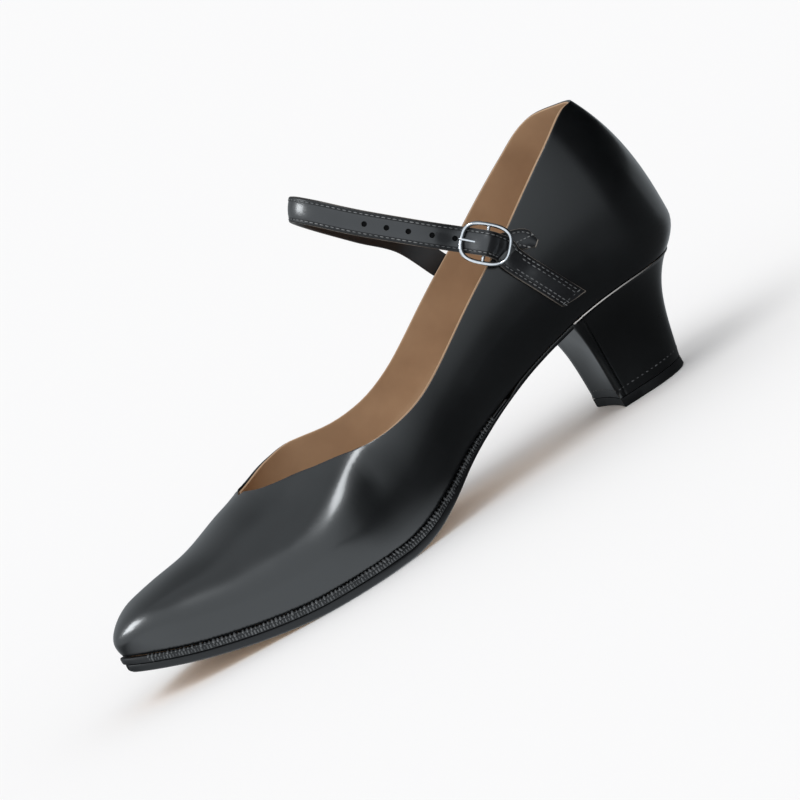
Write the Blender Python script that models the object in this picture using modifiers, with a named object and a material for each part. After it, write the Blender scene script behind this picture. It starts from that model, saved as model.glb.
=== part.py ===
"""A left character shoe: a closed leather pump with a V throat, an ankle strap and a covered heel.

Metres, +Z up, +X towards the toe, +Y towards the shoe's outer side. The origin is the middle of
the heel's walking surface. Lengths along the shoe are first counted from the back of the heel.
"""

import math
from collections import namedtuple

import bmesh
import bpy
from mathutils import Vector

# Driving sizes of the last
LENGTH = 0.2500  # back of the heel curve to the tip of the toe
BALL_WIDTH = 0.0755  # bottom of the last at the ball
BELLY_WIDTH = BALL_WIDTH + 0.0015  # the upper's widest level, measured at the ball
LAST_DEPTH = 0.0860  # instep line above the feather line at the back of the last
SEAT_HEIGHT = 0.0402  # feather line above the floor at the back of the heel
SEAT_DROP = 0.0031  # fall of the feather line from the back of the seat to the breast
BREAST_SLOPE = 0.20  # fall of the seat for each metre along it, where it meets the breast
TOE_SPRING = 0.0132  # rise of the sole at the tip of the toe
SPRING_POWER = 1.7  # 1 rises evenly, more rises later
HEEL_TUCK = 0.0069  # how far the back curve comes in at the seat
COLLAR_LEAN = 0.0120  # how far the back curve comes in at the collar
LEAN_SHARE, LEAN_POWER = 0.70, 2.6  # how high up, and how late, it comes in
TOE_TUCK = 0.0007  # how far the toe comes in at the feather line

# Thicknesses and clearances
WALL = 0.0018
SOLE_THICK = 0.0030
WAIST_THICK = 0.0016
WELT_THICK = 0.0024
WELT_END_THICK = 0.0007
WELT_LEDGE, WELT_LEDGE_START = 0.0014, 0.25  # how far the welt stands out beyond the upper
SOLE_LEDGE, SOLE_LEDGE_START = 0.0008, 0.30  # and the share of that at its ends in the waist
SOLE_EDGE_ROUND = 0.0007
INSOLE_RISE = 0.0022  # foot bed above the feather line
INSOLE_CLEARANCE = 0.00045  # inside the upper's wall
SOLE_RAMP, INSOLE_RAMP = 0.006, 0.016  # where they step down to make room for the welt
GAP = 0.0003

# Heel
BREAST_TOP = 0.0576  # from the back of the shoe
BREAST_FOOT = 0.0530
HEEL_FOOT_BACK = 0.0218
HEEL_FOOT_WIDTH = 0.0289
TOP_PIECE_THICK = 0.0034
HEEL_FOOT_ROUND = 0.62  # share of the foot's depth that is rounded
BREAST_HOLLOW = 0.0012
HOLLOW_TO = 0.286  # share of the height above which the hollow fades out
BACK_SPREAD, BREAST_SPREAD = 0.52, 0.08  # share of the spread that is even up the heel

# Places along the last, as shares of its length
FLAT_FROM, FLAT_TO = 0.605, 0.745
WELT_FROM = 0.365
WELT_CLEAR = 0.004  # the welt starts this much further on than the step cut for it
STEP_EASE = 0.12  # the sole's bottom takes that step over this much
THROAT = 0.739
HEEL_ROUND, TOE_ROUND, NOSE_ROUND = 0.112, 0.100, 0.059
BACK_ZONE, TOE_ZONE = 0.30, 0.90
TIP = 0.0006  # a flat piece ends this far short of its rounded tip

# Strap and buckle
STRAP_WIDTH = 0.0090
STRAP_THICK = 0.0016
TAIL_SLANT = 0.0025  # how far the tail's upper corner runs past its middle
SLANT_RINGS = 7  # cross rings over which the slant grows
SLOT_ENDS = (0.02, 0.90)  # the prong's slot in the strap, as shares of the way to the rim
BUCKLE_LENGTH = 0.0186
BUCKLE_WIDTH = 0.0149
BUCKLE_WIRE = 0.0015
BAR_WIRE = 0.0012
BUCKLE_FRONT = (0.3230, 0.3765, 0.9574)  # shares of LENGTH, BALL_WIDTH and the back's height
BUCKLE_BACK = (0.2586, 1.825)  # place along and up the outer quarter
BUCKLE_OFF = 0.0048  # its rear rim off the quarter
BUCKLE_TURN = 12.0  # degrees, towards the strap's tail
PRONG_WIRE = 0.0010
TAB_WIDTH = 0.0072
TAB_THICK = 0.0008
RUNNING_GAP = 0.00015  # round the buckle's bar, and between the wires and the strap

# Grid of the upper
STATIONS = 44
LOW_ROWS, HIGH_ROWS = 3, 10

Section = namedtuple(
    "Section",
    "along feather_out feather_in belly_out belly_in belly_rise crown ridge full_out full_in",
)
# along: share of LENGTH. feather: half widths as shares of BALL_WIDTH. belly: half widths as
# shares of BELLY_WIDTH. belly_rise and crown: heights above the feather line as shares of
# LAST_DEPTH. ridge: how far the instep line lies to the inner side, as a share of BALL_WIDTH.
# full: 2 is an ellipse, less is flatter, more is fuller.
SECTIONS = [
    Section(0.00, 0.345, 0.345, 0.372, 0.372, 0.125, 0.931, 0.00, 2.0, 2.0),
    Section(0.12, 0.350, 0.345, 0.384, 0.376, 0.160, 0.988, 0.00, 2.0, 2.0),
    Section(0.24, 0.322, 0.290, 0.384, 0.362, 0.190, 0.96, 0.02, 2.0, 2.0),
    Section(0.34, 0.315, 0.235, 0.388, 0.345, 0.195, 0.905, 0.04, 2.0, 2.0),
    Section(0.44, 0.345, 0.215, 0.408, 0.350, 0.175, 0.82, 0.07, 2.0, 2.0),
    Section(0.52, 0.415, 0.275, 0.445, 0.375, 0.155, 0.775, 0.10, 1.9, 2.1),
    Section(0.60, 0.479, 0.375, 0.484, 0.420, 0.135, 0.721, 0.122, 1.7, 2.2),
    Section(0.66, 0.520, 0.440, 0.520, 0.458, 0.125, 0.595, 0.116, 1.6, 2.3),
    Section(0.72, 0.506, 0.465, 0.511, 0.476, 0.115, 0.468, 0.092, 1.6, 2.3),
    Section(0.78, 0.438, 0.445, 0.448, 0.458, 0.105, 0.408, 0.061, 1.75, 2.2),
    Section(0.84, 0.361, 0.390, 0.377, 0.405, 0.100, 0.332, 0.044, 1.9, 2.2),
    Section(0.90, 0.286, 0.315, 0.301, 0.330, 0.100, 0.274, 0.027, 2.1, 2.2),
    Section(0.95, 0.228, 0.255, 0.245, 0.270, 0.099, 0.211, 0.020, 2.2, 2.2),
    Section(1.00, 0.160, 0.185, 0.175, 0.200, 0.043, 0.135, 0.010, 2.2, 2.2),
]

Waist = namedtuple("Waist", "along height")
# The waist's feather line. along: share of the way from the breast to the flat of the ball.
# height: share of the rise from the flat to the breast.
WAIST = [
    Waist(0.00, 1.000),
    Waist(0.15, 0.896),
    Waist(0.33, 0.736),
    Waist(0.48, 0.580),
    Waist(0.61, 0.419),
    Waist(0.74, 0.227),
    Waist(0.85, 0.091),
    Waist(0.93, 0.030),
    Waist(1.00, 0.000),
]

Cut = namedtuple("Cut", "along outer inner")
# The topline: how far round from the belly (0) to the instep line (90) each side is cut, degrees
TOPLINE = [
    Cut(0.00, 47.5, 47.5),
    Cut(0.05, 45.2, 45.2),
    Cut(0.14, 34.3, 34.3),
    Cut(0.24, 23.7, 24.7),
    Cut(0.30, 19.5, 21.0),
    Cut(0.42, 14.9, 16.4),
    Cut(0.48, 15.7, 17.9),
    Cut(0.56, 24.8, 27.3),
    Cut(0.61, 33.5, 35.5),
    Cut(0.68, 52.8, 50.0),
    Cut(0.72, 70.9, 66.0),
    Cut(THROAT, 90.0, 90.0),
    Cut(1.00, 90.0, 90.0),
]

# The strap's root on the inner quarter and its tail on the outer one: (place along, place up)
STRAP_ROOT = [(0.268, 1.55), (0.280, 1.72), (0.294, 1.92)]
STRAP_TAIL = [(0.2595, 1.459), (0.2499, 1.250), (0.2401, 1.058), (0.2298, 0.793), (0.2177, 0.480)]
# The buckle's tab: from the bar, as shares of half the buckle (along, across, out), then along
# the quarter
TAB_DROP = [(0.20, 0.0, -0.054), (0.39, -0.03, -0.31), (0.62, -0.13, -0.38)]
TAB_END = [(0.2428, 1.745), (0.2331, 1.621), (0.2253, 1.507)]

Arch = namedtuple("Arch", "x y z turn")
# The strap over the ankle, as worn. x: share of LENGTH. y: share of BALL_WIDTH. z: height above
# the floor as a share of LAST_DEPTH. turn: where its face looks, radians from straight outwards,
# square to the line that the loop goes round.
LOOP_LINE = Vector((-0.50, 0.06, 0.86)).normalized()
STRAP_ARCH = [
    Arch(0.3271, -0.363, 1.011, 2.94),
    Arch(0.3776, -0.315, 1.145, 2.79),
    Arch(0.4318, -0.214, 1.289, 2.40),
    Arch(0.4652, -0.086, 1.374, 1.89),
    Arch(0.4735, 0.020, 1.393, 1.49),
    Arch(0.4596, 0.133, 1.347, 1.03),
    Arch(0.4218, 0.230, 1.235, 0.68),
    Arch(0.3732, 0.306, 1.109, 0.40),
    Arch(0.3459, 0.337, 1.041, 0.27),
]


def read_table(rows, along, column):
    """The column's value at this place, on a smooth curve through the rows."""
    rows = sorted(rows, key=lambda row: row.along)
    last = len(rows) - 1
    i = max(0, min(last - 1, sum(row.along <= along for row in rows) - 1))
    a, b = rows[i], rows[i + 1]
    span = b.along - a.along

    def slope(k):
        low, high = rows[max(0, k - 1)], rows[min(last, k + 1)]
        return (getattr(high, column) - getattr(low, column)) / (high.along - low.along)

    t = min(1.0, max(0.0, (along - a.along) / span))
    p, q = getattr(a, column), getattr(b, column)
    return hermite(p, q, slope(i) * span, slope(i + 1) * span, t)


def hermite(p, q, start, end, t):
    """A cubic from p to q with these end slopes, for t from 0 to 1."""
    return (
        p * (2 * t**3 - 3 * t**2 + 1)
        + q * (3 * t**2 - 2 * t**3)
        + start * (t**3 - 2 * t**2 + t)
        + end * (t**3 - t**2)
    )


def smooth(t):
    t = min(1.0, max(0.0, t))
    return t * t * (3 - 2 * t)


def end_round(share, length):
    """0 at an end, 1 once `length` away from it, along a quarter circle."""
    near = min(1.0, max(0.0, share / length))
    return math.sqrt(max(0.0, 1 - (1 - near) ** 2))


# Levels along the shoe
def feather_height(along):
    """The line where the upper meets what it stands on."""
    flat = SOLE_THICK + WELT_THICK + 2 * GAP
    breast = BREAST_TOP / LENGTH
    breast_height = SEAT_HEIGHT - SEAT_DROP
    if along <= breast:
        end = -BREAST_SLOPE * BREAST_TOP
        return hermite(SEAT_HEIGHT, breast_height, 0.0, end, along / breast)
    if along <= FLAT_FROM:
        way = (along - breast) / (FLAT_FROM - breast)
        return flat + (breast_height - flat) * read_table(WAIST, way, "height")
    rise = max(0.0, (along - FLAT_TO) / (1 - FLAT_TO))
    return flat + TOE_SPRING * rise**SPRING_POWER


def grown(along, start=0.0):
    """0 (or more, with a start) at the welt's ends in the waist, 1 from the ball on."""
    return smooth((along - WELT_FROM) / (FLAT_FROM - WELT_FROM) + start)


def welt_thickness(along):
    return WELT_END_THICK + (WELT_THICK - WELT_END_THICK) * grown(along)


def sole_thickness(along):
    return WAIST_THICK + (SOLE_THICK - WAIST_THICK) * grown(along)


def sole_top(along):
    """The outsole's upper face: under the welt, and stepped up to the upper behind its ends."""
    ramp = smooth((along - WELT_FROM) * LENGTH / SOLE_RAMP + 1)
    return feather_height(along) - GAP - ramp * (welt_thickness(along) + GAP)


def sole_bottom(along):
    under_welt = feather_height(along) - 2 * GAP - welt_thickness(along) - sole_thickness(along)
    before_welt = feather_height(along) - GAP - WAIST_THICK
    step = smooth((along - WELT_FROM) / STEP_EASE + 0.5)
    return before_welt + (under_welt - before_welt) * step


# The last's surface
def last_point(side, along, row):
    """A point of the upper's outer face. side is 1 for outer and -1 for inner, row runs from 0 at
    the feather line through 1 at the belly to 2 at the topline or the instep line."""
    out = side > 0
    ends = end_round(along, HEEL_ROUND) * end_round(1 - along, TOE_ROUND)
    feather = feather_height(along)
    belly = feather + LAST_DEPTH * read_table(SECTIONS, along, "belly_rise")
    nose = end_round(1 - along, NOSE_ROUND)
    crown = feather + LAST_DEPTH * read_table(SECTIONS, along, "crown")
    crown = belly + (crown - belly) * nose
    ridge = -BALL_WIDTH * read_table(SECTIONS, along, "ridge") * ends
    low = BALL_WIDTH * ends * read_table(SECTIONS, along, "feather_out" if out else "feather_in")
    wide = BELLY_WIDTH * ends * read_table(SECTIONS, along, "belly_out" if out else "belly_in")
    full = read_table(SECTIONS, along, "full_out" if out else "full_in")
    if row <= 1:
        y = side * (wide - (wide - low) * (1 - row) ** 2)
        z = feather + (belly - feather) * row
    else:
        cut = 90.0 if along >= THROAT else read_table(TOPLINE, along, "outer" if out else "inner")
        angle = math.radians((row - 1) * min(90.0, cut))
        y = ridge + (side * wide - ridge) * max(0.0, math.cos(angle)) ** (2 / full)
        z = belly + (crown - belly) * math.sin(angle) ** (2 / full)
    back = max(0.0, 1 - along / BACK_ZONE) ** 2
    if z < belly:
        lean = HEEL_TUCK * ((belly - z) / (belly - feather)) ** 2
    else:
        level = (z - belly) / (LEAN_SHARE * (LAST_DEPTH - (belly - feather)))
        lean = COLLAR_LEAN * level**LEAN_POWER
    toe = smooth((along - TOE_ZONE) / (1 - TOE_ZONE))
    tuck = TOE_TUCK * max(0.0, (belly - z) / (belly - feather)) ** 2
    return Vector((along * LENGTH + back * lean - toe * tuck, y, z))


def last_normal(side, along, row):
    """The outward direction of the upper's outer face."""
    step = 0.004
    ahead = last_point(side, min(1.0, along + step), row) - last_point(side, along - step, row)
    up = last_point(side, along, min(2.0, row + step)) - last_point(side, along, row - step)
    return (side * up.cross(ahead)).normalized()


def on_quarter(side, along, row, lift):
    """A point that stands this far off the upper's outer face."""
    return last_point(side, along, row) + last_normal(side, along, row) * lift


def outline_point(side, along, out):
    """The feather line in plan, moved outwards by `out`."""
    step = 0.0015
    a = last_point(side, max(0.0, along - step), 0)
    b = last_point(side, min(1.0, along + step), 0)
    here = last_point(side, along, 0)
    run = Vector((b.x - a.x, b.y - a.y, 0)).normalized()
    if along > 1 - 1e-6:
        normal = Vector((1, 0, 0))
    elif along < 1e-6:
        normal = Vector((-1, 0, 0))
    else:
        normal = Vector((-run.y, run.x, 0)) * side
    return Vector((here.x, here.y, 0)) + normal * out


def stations(start, end, count):
    """Places from start to end, closer together near the tips of the heel and the toe."""

    def angle(along):
        return math.acos(1 - 2 * along)

    first, last = angle(start), angle(end)
    return [(1 - math.cos(first + (last - first) * i / count)) / 2 for i in range(count + 1)]


# Mesh and material helpers
def material(name, colour, roughness, metallic=0.0):
    made = bpy.data.materials.new(name)
    made.use_nodes = True
    shader = made.node_tree.nodes["Principled BSDF"]
    shader.inputs["Base Color"].default_value = (*colour, 1)
    shader.inputs["Roughness"].default_value = roughness
    shader.inputs["Metallic"].default_value = metallic
    return made


def clear_scene():
    for old in list(bpy.data.objects):
        bpy.data.objects.remove(old, do_unlink=True)


def new_collection(name):
    made = bpy.data.collections.new(name)
    bpy.context.scene.collection.children.link(made)
    return made


def add_piece(name, bm, finish, smooth_angle=40):
    """One object from a bmesh that is modelled from the back of the heel."""
    bmesh.ops.remove_doubles(bm, verts=bm.verts, dist=1e-6)
    bmesh.ops.recalc_face_normals(bm, faces=bm.faces)
    bmesh.ops.translate(bm, verts=bm.verts, vec=(-ORIGIN_FROM_BACK, 0, 0))
    mesh = bpy.data.meshes.new(name)
    bm.to_mesh(mesh)
    bm.free()
    mesh.materials.append(finish)
    mesh.shade_smooth()
    mesh.set_sharp_from_angle(angle=math.radians(smooth_angle))
    made = bpy.data.objects.new(name, mesh)
    SHOE.objects.link(made)
    return made


def skin(bm, rings, closed=True):
    """Faces between each ring of points and the next; the rings are loops when closed."""
    made = [[bm.verts.new(point) for point in ring] for ring in rings]
    for one, two in zip(made, made[1:]):
        for i in range(len(one) if closed else len(one) - 1):
            j = (i + 1) % len(one)
            bm.faces.new((one[i], one[j], two[j], two[i]))
    return made


def solid_of_rings(rings):
    """A closed solid: loops of points skinned one to the next, with both ends filled."""
    bm = bmesh.new()
    made = skin(bm, rings)
    bm.faces.new(made[0][::-1])
    bm.faces.new(made[-1])
    return bm


# The origin is the middle of the heel's walking surface
ORIGIN_FROM_BACK = (HEEL_FOOT_BACK + BREAST_FOOT) / 2


def build_upper(finish):
    places = stations(0.0, 1.0, STATIONS)
    nearest = min(range(len(places)), key=lambda i: abs(places[i] - THROAT))
    places[nearest] = THROAT
    rows = [i / LOW_ROWS for i in range(LOW_ROWS)]
    rows += [1 + i / HIGH_ROWS for i in range(HIGH_ROWS + 1)]
    bm = bmesh.new()
    for side in (1, -1):
        grid = [[last_point(side, along, row) for row in rows] for along in places]
        skin(bm, grid, closed=False)
    # the fans at the tip of the toe and the two halves' shared lines become one
    bmesh.ops.remove_doubles(bm, verts=bm.verts, dist=2e-5)
    bmesh.ops.dissolve_degenerate(bm, edges=bm.edges, dist=2e-5)
    bmesh.ops.recalc_face_normals(bm, faces=bm.faces)
    made = add_piece("upper", bm, finish, 60)
    wall = made.modifiers.new("wall", "SOLIDIFY")
    wall.thickness = WALL
    wall.offset = -1
    wall.use_even_offset = False
    return made


def slab_rings(places, out_of, bottom_of, top_of, levels):
    """Cross rings of a flat piece, from its back end to its tip. levels: (share of the height,
    how far in the edge lies there), bottom first."""
    across = (0.8, 0.4, 0.0, -0.4, -0.8)
    rings = []
    for along in places:
        out = out_of(along)
        ring = []
        for side, steps in ((1, levels), (-1, levels[::-1])):
            for share, inset in steps:
                spot = outline_point(side, along, out - inset)
                low, high = bottom_of(spot.x / LENGTH), top_of(spot.x / LENGTH)
                ring.append(Vector((spot.x, spot.y, low + share * (high - low))))
            outer = outline_point(1, along, out - levels[0][1])
            inner = outline_point(-1, along, out - levels[0][1])
            for share in across if side > 0 else across[::-1]:
                spot = inner.lerp(outer, (share + 1) / 2)
                level = top_of if side > 0 else bottom_of
                ring.append(Vector((spot.x, spot.y, level(spot.x / LENGTH))))
        rings.append(ring)
    return rings


def build_outsole(finish):
    def out_of(along):
        return SOLE_LEDGE * grown(along, SOLE_LEDGE_START)

    back = (BREAST_TOP + GAP) / LENGTH
    places = stations(back, 1 - TIP, 34)
    levels = [(0.0, SOLE_EDGE_ROUND), (0.25, 0.15 * SOLE_EDGE_ROUND), (0.5, 0.0), (1.0, 0.0)]
    rings = slab_rings(places, out_of, sole_bottom, sole_top, levels)
    return add_piece("outsole", solid_of_rings(rings), finish)


def build_insole(finish):
    def out_of(_):
        return -(WALL + INSOLE_CLEARANCE + GAP)

    def bottom_of(along):
        drop = smooth((along - WELT_FROM) * LENGTH / INSOLE_RAMP)
        return feather_height(along) - drop * (welt_thickness(along) + GAP)

    def top_of(along):
        return feather_height(along) + INSOLE_RISE

    places = stations(TIP, 1 - TIP, 36)
    rings = slab_rings(places, out_of, bottom_of, top_of, [(0.0, 0.0), (1.0, 0.0)])
    return add_piece("insole", solid_of_rings(rings), finish)


def build_welt(finish):
    """A strip on the outsole's margin, swept from the outer waist round the toe to the inner."""
    inner_edge = -WALL
    profile = [(0.0, 0.0), (0.0, 1.0), (0.35, 1.0), (0.85, 1.0), (1.0, 0.6), (1.0, 0.0)]
    places = stations(WELT_FROM + WELT_CLEAR, 1.0, 28)
    path = [(1, along) for along in places] + [(-1, along) for along in places[-2::-1]]
    rings = []
    for side, along in path:
        ledge = WELT_LEDGE * grown(along, WELT_LEDGE_START)
        ring = []
        for share, level in profile:
            spot = outline_point(side, along, inner_edge + share * (ledge - inner_edge))
            low = sole_top(spot.x / LENGTH) + GAP
            high = low + welt_thickness(spot.x / LENGTH)
            ring.append(Vector((spot.x, spot.y, low + level * (high - low))))
        rings.append(ring)
    return add_piece("welt", solid_of_rings(rings), finish)


def heel_spread(share, place):
    """How far the heel has spread from its foot (0) to its seat (1) at this share of its height.
    It spreads evenly at the back (place 0) and late at the breast (place 1)."""
    even = BACK_SPREAD + (BREAST_SPREAD - BACK_SPREAD) * place
    return even * share + (1 - even) * share**4


def heel_outline(share):
    """The heel in plan at this share of its height, from its outer breast corner round the back
    to the inner corner and across the breast."""
    breast = BREAST_TOP / LENGTH
    count = 12
    half = HEEL_FOOT_WIDTH / 2
    ring = []
    for side in (1, -1):
        run = [i / count for i in range(count + 1)]
        for q in run[::-1] if side > 0 else run[1:]:
            place = q * q * (2 - q)
            top = outline_point(side, place * breast, -GAP)
            foot_x = HEEL_FOOT_BACK + place * (BREAST_FOOT - HEEL_FOOT_BACK)
            foot_y = side * half * end_round(place, HEEL_FOOT_ROUND)
            ring.append(Vector((foot_x, foot_y, 0)).lerp(top, heel_spread(share, place)))
    first, last = ring[0], ring[-1]
    for i in range(1, 6):
        spot = last.lerp(first, i / 6)
        fade = 1 - smooth((share - HOLLOW_TO) / (1 - HOLLOW_TO))
        hollow = BREAST_HOLLOW * (1 - (2 * i / 6 - 1) ** 2) * fade
        ring.append(spot - Vector((hollow, 0, 0)))
    return ring


def build_heel(finish):
    rings = []
    count = 12
    foot = TOP_PIECE_THICK + GAP
    for i in range(count + 1):
        share = i / count
        ring = []
        for spot in heel_outline(share):
            seat = feather_height(spot.x / LENGTH) - GAP
            ring.append(Vector((spot.x, spot.y, foot + share * (seat - foot))))
        rings.append(ring)
    return add_piece("heel", solid_of_rings(rings), finish)


def build_top_piece(finish):
    rings = []
    for level in (0.0, TOP_PIECE_THICK):
        rings.append([Vector((spot.x, spot.y, level)) for spot in heel_outline(0.0)])
    return add_piece("top_piece", solid_of_rings(rings), finish)


def smooth_route(points, count):
    """A Catmull-Rom curve through the points, as count + 1 places."""
    made = []
    last = len(points) - 1
    for i in range(count + 1):
        place = i / count * last
        k = min(last - 1, int(place))
        t = place - k
        p, q = points[k], points[k + 1]
        start = (q - points[max(0, k - 1)]) / 2
        end = (points[min(last, k + 2)] - p) / 2
        made.append(hermite(p, q, start, end, t))
    return made


def band_rings(centres, outwards, width, thick, slant=0.0, tip=1.0):
    """Cross rings of a flat band along the centres, its face towards `outwards`. Its last end is
    cut aslant, or narrows to this share of the width."""
    rings = []
    last = len(centres) - 1
    for i, centre in enumerate(centres):
        run = (centres[min(last, i + 1)] - centres[max(0, i - 1)]).normalized()
        face = (outwards[i] - run * outwards[i].dot(run)).normalized()
        across = run.cross(face)
        ring = []
        skew = -slant * max(0.0, 1 - (last - i) / SLANT_RINGS)
        half = width / 2 * (tip if i == last else 1)
        for a, b in ((-1, -0.5), (-0.9, 0.42), (0, 0.5), (0.9, 0.42), (1, -0.5), (0, -0.5)):
            ring.append(centre + across * (a * half) + face * (b * thick) + run * (skew * a))
        rings.append(ring)
    return rings


BuckleAxes = namedtuple("BuckleAxes", "middle along across out")


def buckle_axes():
    """Where the buckle hangs: its middle, and its directions to the rear, downwards and out."""
    x, y, z = BUCKLE_FRONT
    front = Vector((x * LENGTH, y * BALL_WIDTH, z * LAST_DEPTH))
    back = on_quarter(1, *BUCKLE_BACK, BUCKLE_OFF)
    rear = (back - front).normalized()
    down = rear.cross(Vector((0, 1, 0))).normalized()
    if down.z > 0:
        down.negate()
    turn = math.radians(BUCKLE_TURN)
    along = rear * math.cos(turn) + down * math.sin(turn)
    across = down * math.cos(turn) - rear * math.sin(turn)
    out = along.cross(across)
    return BuckleAxes((front + back) / 2, along, across, out if out.y > 0 else -out)


def on_buckle(along, across, out):
    """A point in the buckle's own directions."""
    axes = buckle_axes()
    return axes.middle + axes.along * along + axes.across * across + axes.out * out


def strap_route():
    """The strap's middle line and outward directions, from its root on the inner quarter over
    the front of the ankle, through the buckle and down to its tail on the outer quarter."""
    lift = GAP + STRAP_THICK / 2
    places, faces = [], []

    def rest_on(side, along, row, more=0.0):
        places.append(on_quarter(side, along, row, lift + more))
        faces.append(last_normal(side, along, row))

    for along, row in STRAP_ROOT:
        rest_on(-1, along, row)
    for row in STRAP_ARCH:
        places.append(Vector((row.x * LENGTH, row.y * BALL_WIDTH, row.z * LAST_DEPTH)))
        face = Vector((math.sin(row.turn), math.cos(row.turn), 0))
        faces.append((face - LOOP_LINE * face.dot(LOOP_LINE)).normalized())
    under = (BUCKLE_WIRE + STRAP_THICK) / 2 + 2 * RUNNING_GAP
    over = BAR_WIRE / 2 + PRONG_WIRE + STRAP_THICK / 2 + 3 * RUNNING_GAP
    reach = BUCKLE_LENGTH / 2
    passes = [(-0.9, 0.0, -under), (0.0, -0.01, over), (0.44, 0.02, 0.0)]
    passes += [(0.76, 0.10, -under), (0.98, 0.31, -under)]
    for along, across, out in passes:
        places.append(on_buckle(along * reach, across * reach, out))
        faces.append(buckle_axes().out)
    for along, row in STRAP_TAIL:
        rest_on(1, along, row)
    return places, faces


def prong_path():
    """Round the bar, then straight to the front rim and over it."""
    ring = (BAR_WIRE + PRONG_WIRE) / 2 + RUNNING_GAP
    rim = (BUCKLE_LENGTH - BUCKLE_WIRE) / 2
    over = (BUCKLE_WIRE + PRONG_WIRE) / 2 + RUNNING_GAP
    points = []
    for degrees in range(-200, 91, 29):
        angle = math.radians(degrees)
        points.append(on_buckle(ring * math.cos(angle), 0, ring * math.sin(angle)))
    points.append(on_buckle(-rim, 0, over))
    points.append(on_buckle(-rim - PRONG_WIRE, 0, over * 0.9))
    return points


def build_strap(finish):
    places, faces = strap_route()
    count = 84
    centres, outwards = smooth_route(places, count), smooth_route(faces, count)
    rings = band_rings(centres, outwards, STRAP_WIDTH, STRAP_THICK, slant=TAIL_SLANT)
    strap = add_piece("ankle_strap", solid_of_rings(rings), finish)
    rim = (BUCKLE_LENGTH - BUCKLE_WIRE) / 2
    level = (BAR_WIRE + PRONG_WIRE) / 2 + RUNNING_GAP
    ends = [on_buckle(-share * rim, 0, level) for share in SLOT_ENDS]
    slot = wire_piece("prong_slot", ends, PRONG_WIRE + 6 * RUNNING_GAP, None, CUTTERS)
    combine(strap, slot, "DIFFERENCE")
    return strap


def wire_piece(name, points, diameter, finish, collection, cyclic=False):
    """A round wire along the points, as a mesh whose ends are closed."""
    curve = bpy.data.curves.new(name + "_path", "CURVE")
    curve.dimensions = "3D"
    curve.bevel_depth = diameter / 2
    curve.bevel_resolution = 2
    curve.use_fill_caps = not cyclic
    spline = curve.splines.new("POLY")
    spline.points.add(len(points) - 1)
    for point, place in zip(spline.points, points):
        point.co = (place.x - ORIGIN_FROM_BACK, place.y, place.z, 1)
    spline.use_cyclic_u = cyclic
    guide = bpy.data.objects.new(name + "_path", curve)
    bpy.context.scene.collection.objects.link(guide)
    graph = bpy.context.evaluated_depsgraph_get()
    mesh = bpy.data.meshes.new_from_object(guide.evaluated_get(graph))
    bpy.data.objects.remove(guide)
    bm = bmesh.new()
    bm.from_mesh(mesh)
    bmesh.ops.remove_doubles(bm, verts=bm.verts, dist=1e-6)
    bmesh.ops.recalc_face_normals(bm, faces=bm.faces)
    bm.to_mesh(mesh)
    bm.free()
    mesh.name = name
    mesh.materials.clear()
    mesh.shade_smooth()
    if finish:
        mesh.materials.append(finish)
    made = bpy.data.objects.new(name, mesh)
    collection.objects.link(made)
    if collection is CUTTERS:
        made.hide_render = True
        made.display_type = "WIRE"
    return made


def combine(piece, other, operation):
    change = piece.modifiers.new(other.name, "BOOLEAN")
    change.operation = operation
    change.solver = "EXACT"
    change.object = other


def build_buckle_frame(finish):
    """A rounded wire loop with a straight bar across its middle."""
    half_length = (BUCKLE_LENGTH - BUCKLE_WIRE) / 2
    half_width = (BUCKLE_WIDTH - BUCKLE_WIRE) / 2
    squareness = 3.0
    count = 40
    loop = []
    for i in range(count):
        angle = math.tau * i / count
        c, s = math.cos(angle), math.sin(angle)
        along = half_length * math.copysign(abs(c) ** (2 / squareness), c)
        across = half_width * math.copysign(abs(s) ** (2 / squareness), s)
        loop.append(on_buckle(along, across, 0))
    frame = wire_piece("buckle_frame", loop, BUCKLE_WIRE, finish, SHOE, cyclic=True)
    ends = [on_buckle(0, side * half_width, 0) for side in (-1, 1)]
    combine(frame, wire_piece("buckle_bar", ends, BAR_WIRE, None, CUTTERS), "UNION")
    return frame


def build_prong(finish):
    return wire_piece("buckle_prong", prong_path(), PRONG_WIRE, finish, SHOE)


def build_tab(finish):
    """A pointed strip, led from the quarter under the buckle's rear rim and hooked round its bar
    on both sides of the prong."""
    ring = (BAR_WIRE + TAB_THICK) / 2 + RUNNING_GAP
    lift = GAP + TAB_THICK / 2
    axes = buckle_axes()
    centres, faces = [], []
    for degrees in range(-60, -331, -30):
        angle = math.radians(degrees)
        outward = axes.along * math.cos(angle) + axes.out * math.sin(angle)
        centres.append(axes.middle + outward * ring)
        faces.append(outward)
    reach = BUCKLE_LENGTH / 2
    for share in TAB_DROP:
        centres.append(on_buckle(*(reach * part for part in share)))
        faces.append(axes.out)
    for along, row in TAB_END:
        centres.append(on_quarter(1, along, row, lift))
        faces.append(last_normal(1, along, row))
    rings = band_rings(centres, faces, TAB_WIDTH, TAB_THICK, tip=0.35)
    tab = add_piece("buckle_tab", solid_of_rings(rings), finish)
    far = 1.6 * (ring + PRONG_WIRE)  # well clear of the fold
    slot = [on_buckle(side * far, 0, 0) for side in (-1, 1)]
    width = PRONG_WIRE + 4 * RUNNING_GAP
    tool = box_between("knuckle_slot", *slot, width, 2 * far)
    combine(tab, tool, "DIFFERENCE")
    return tab


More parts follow.
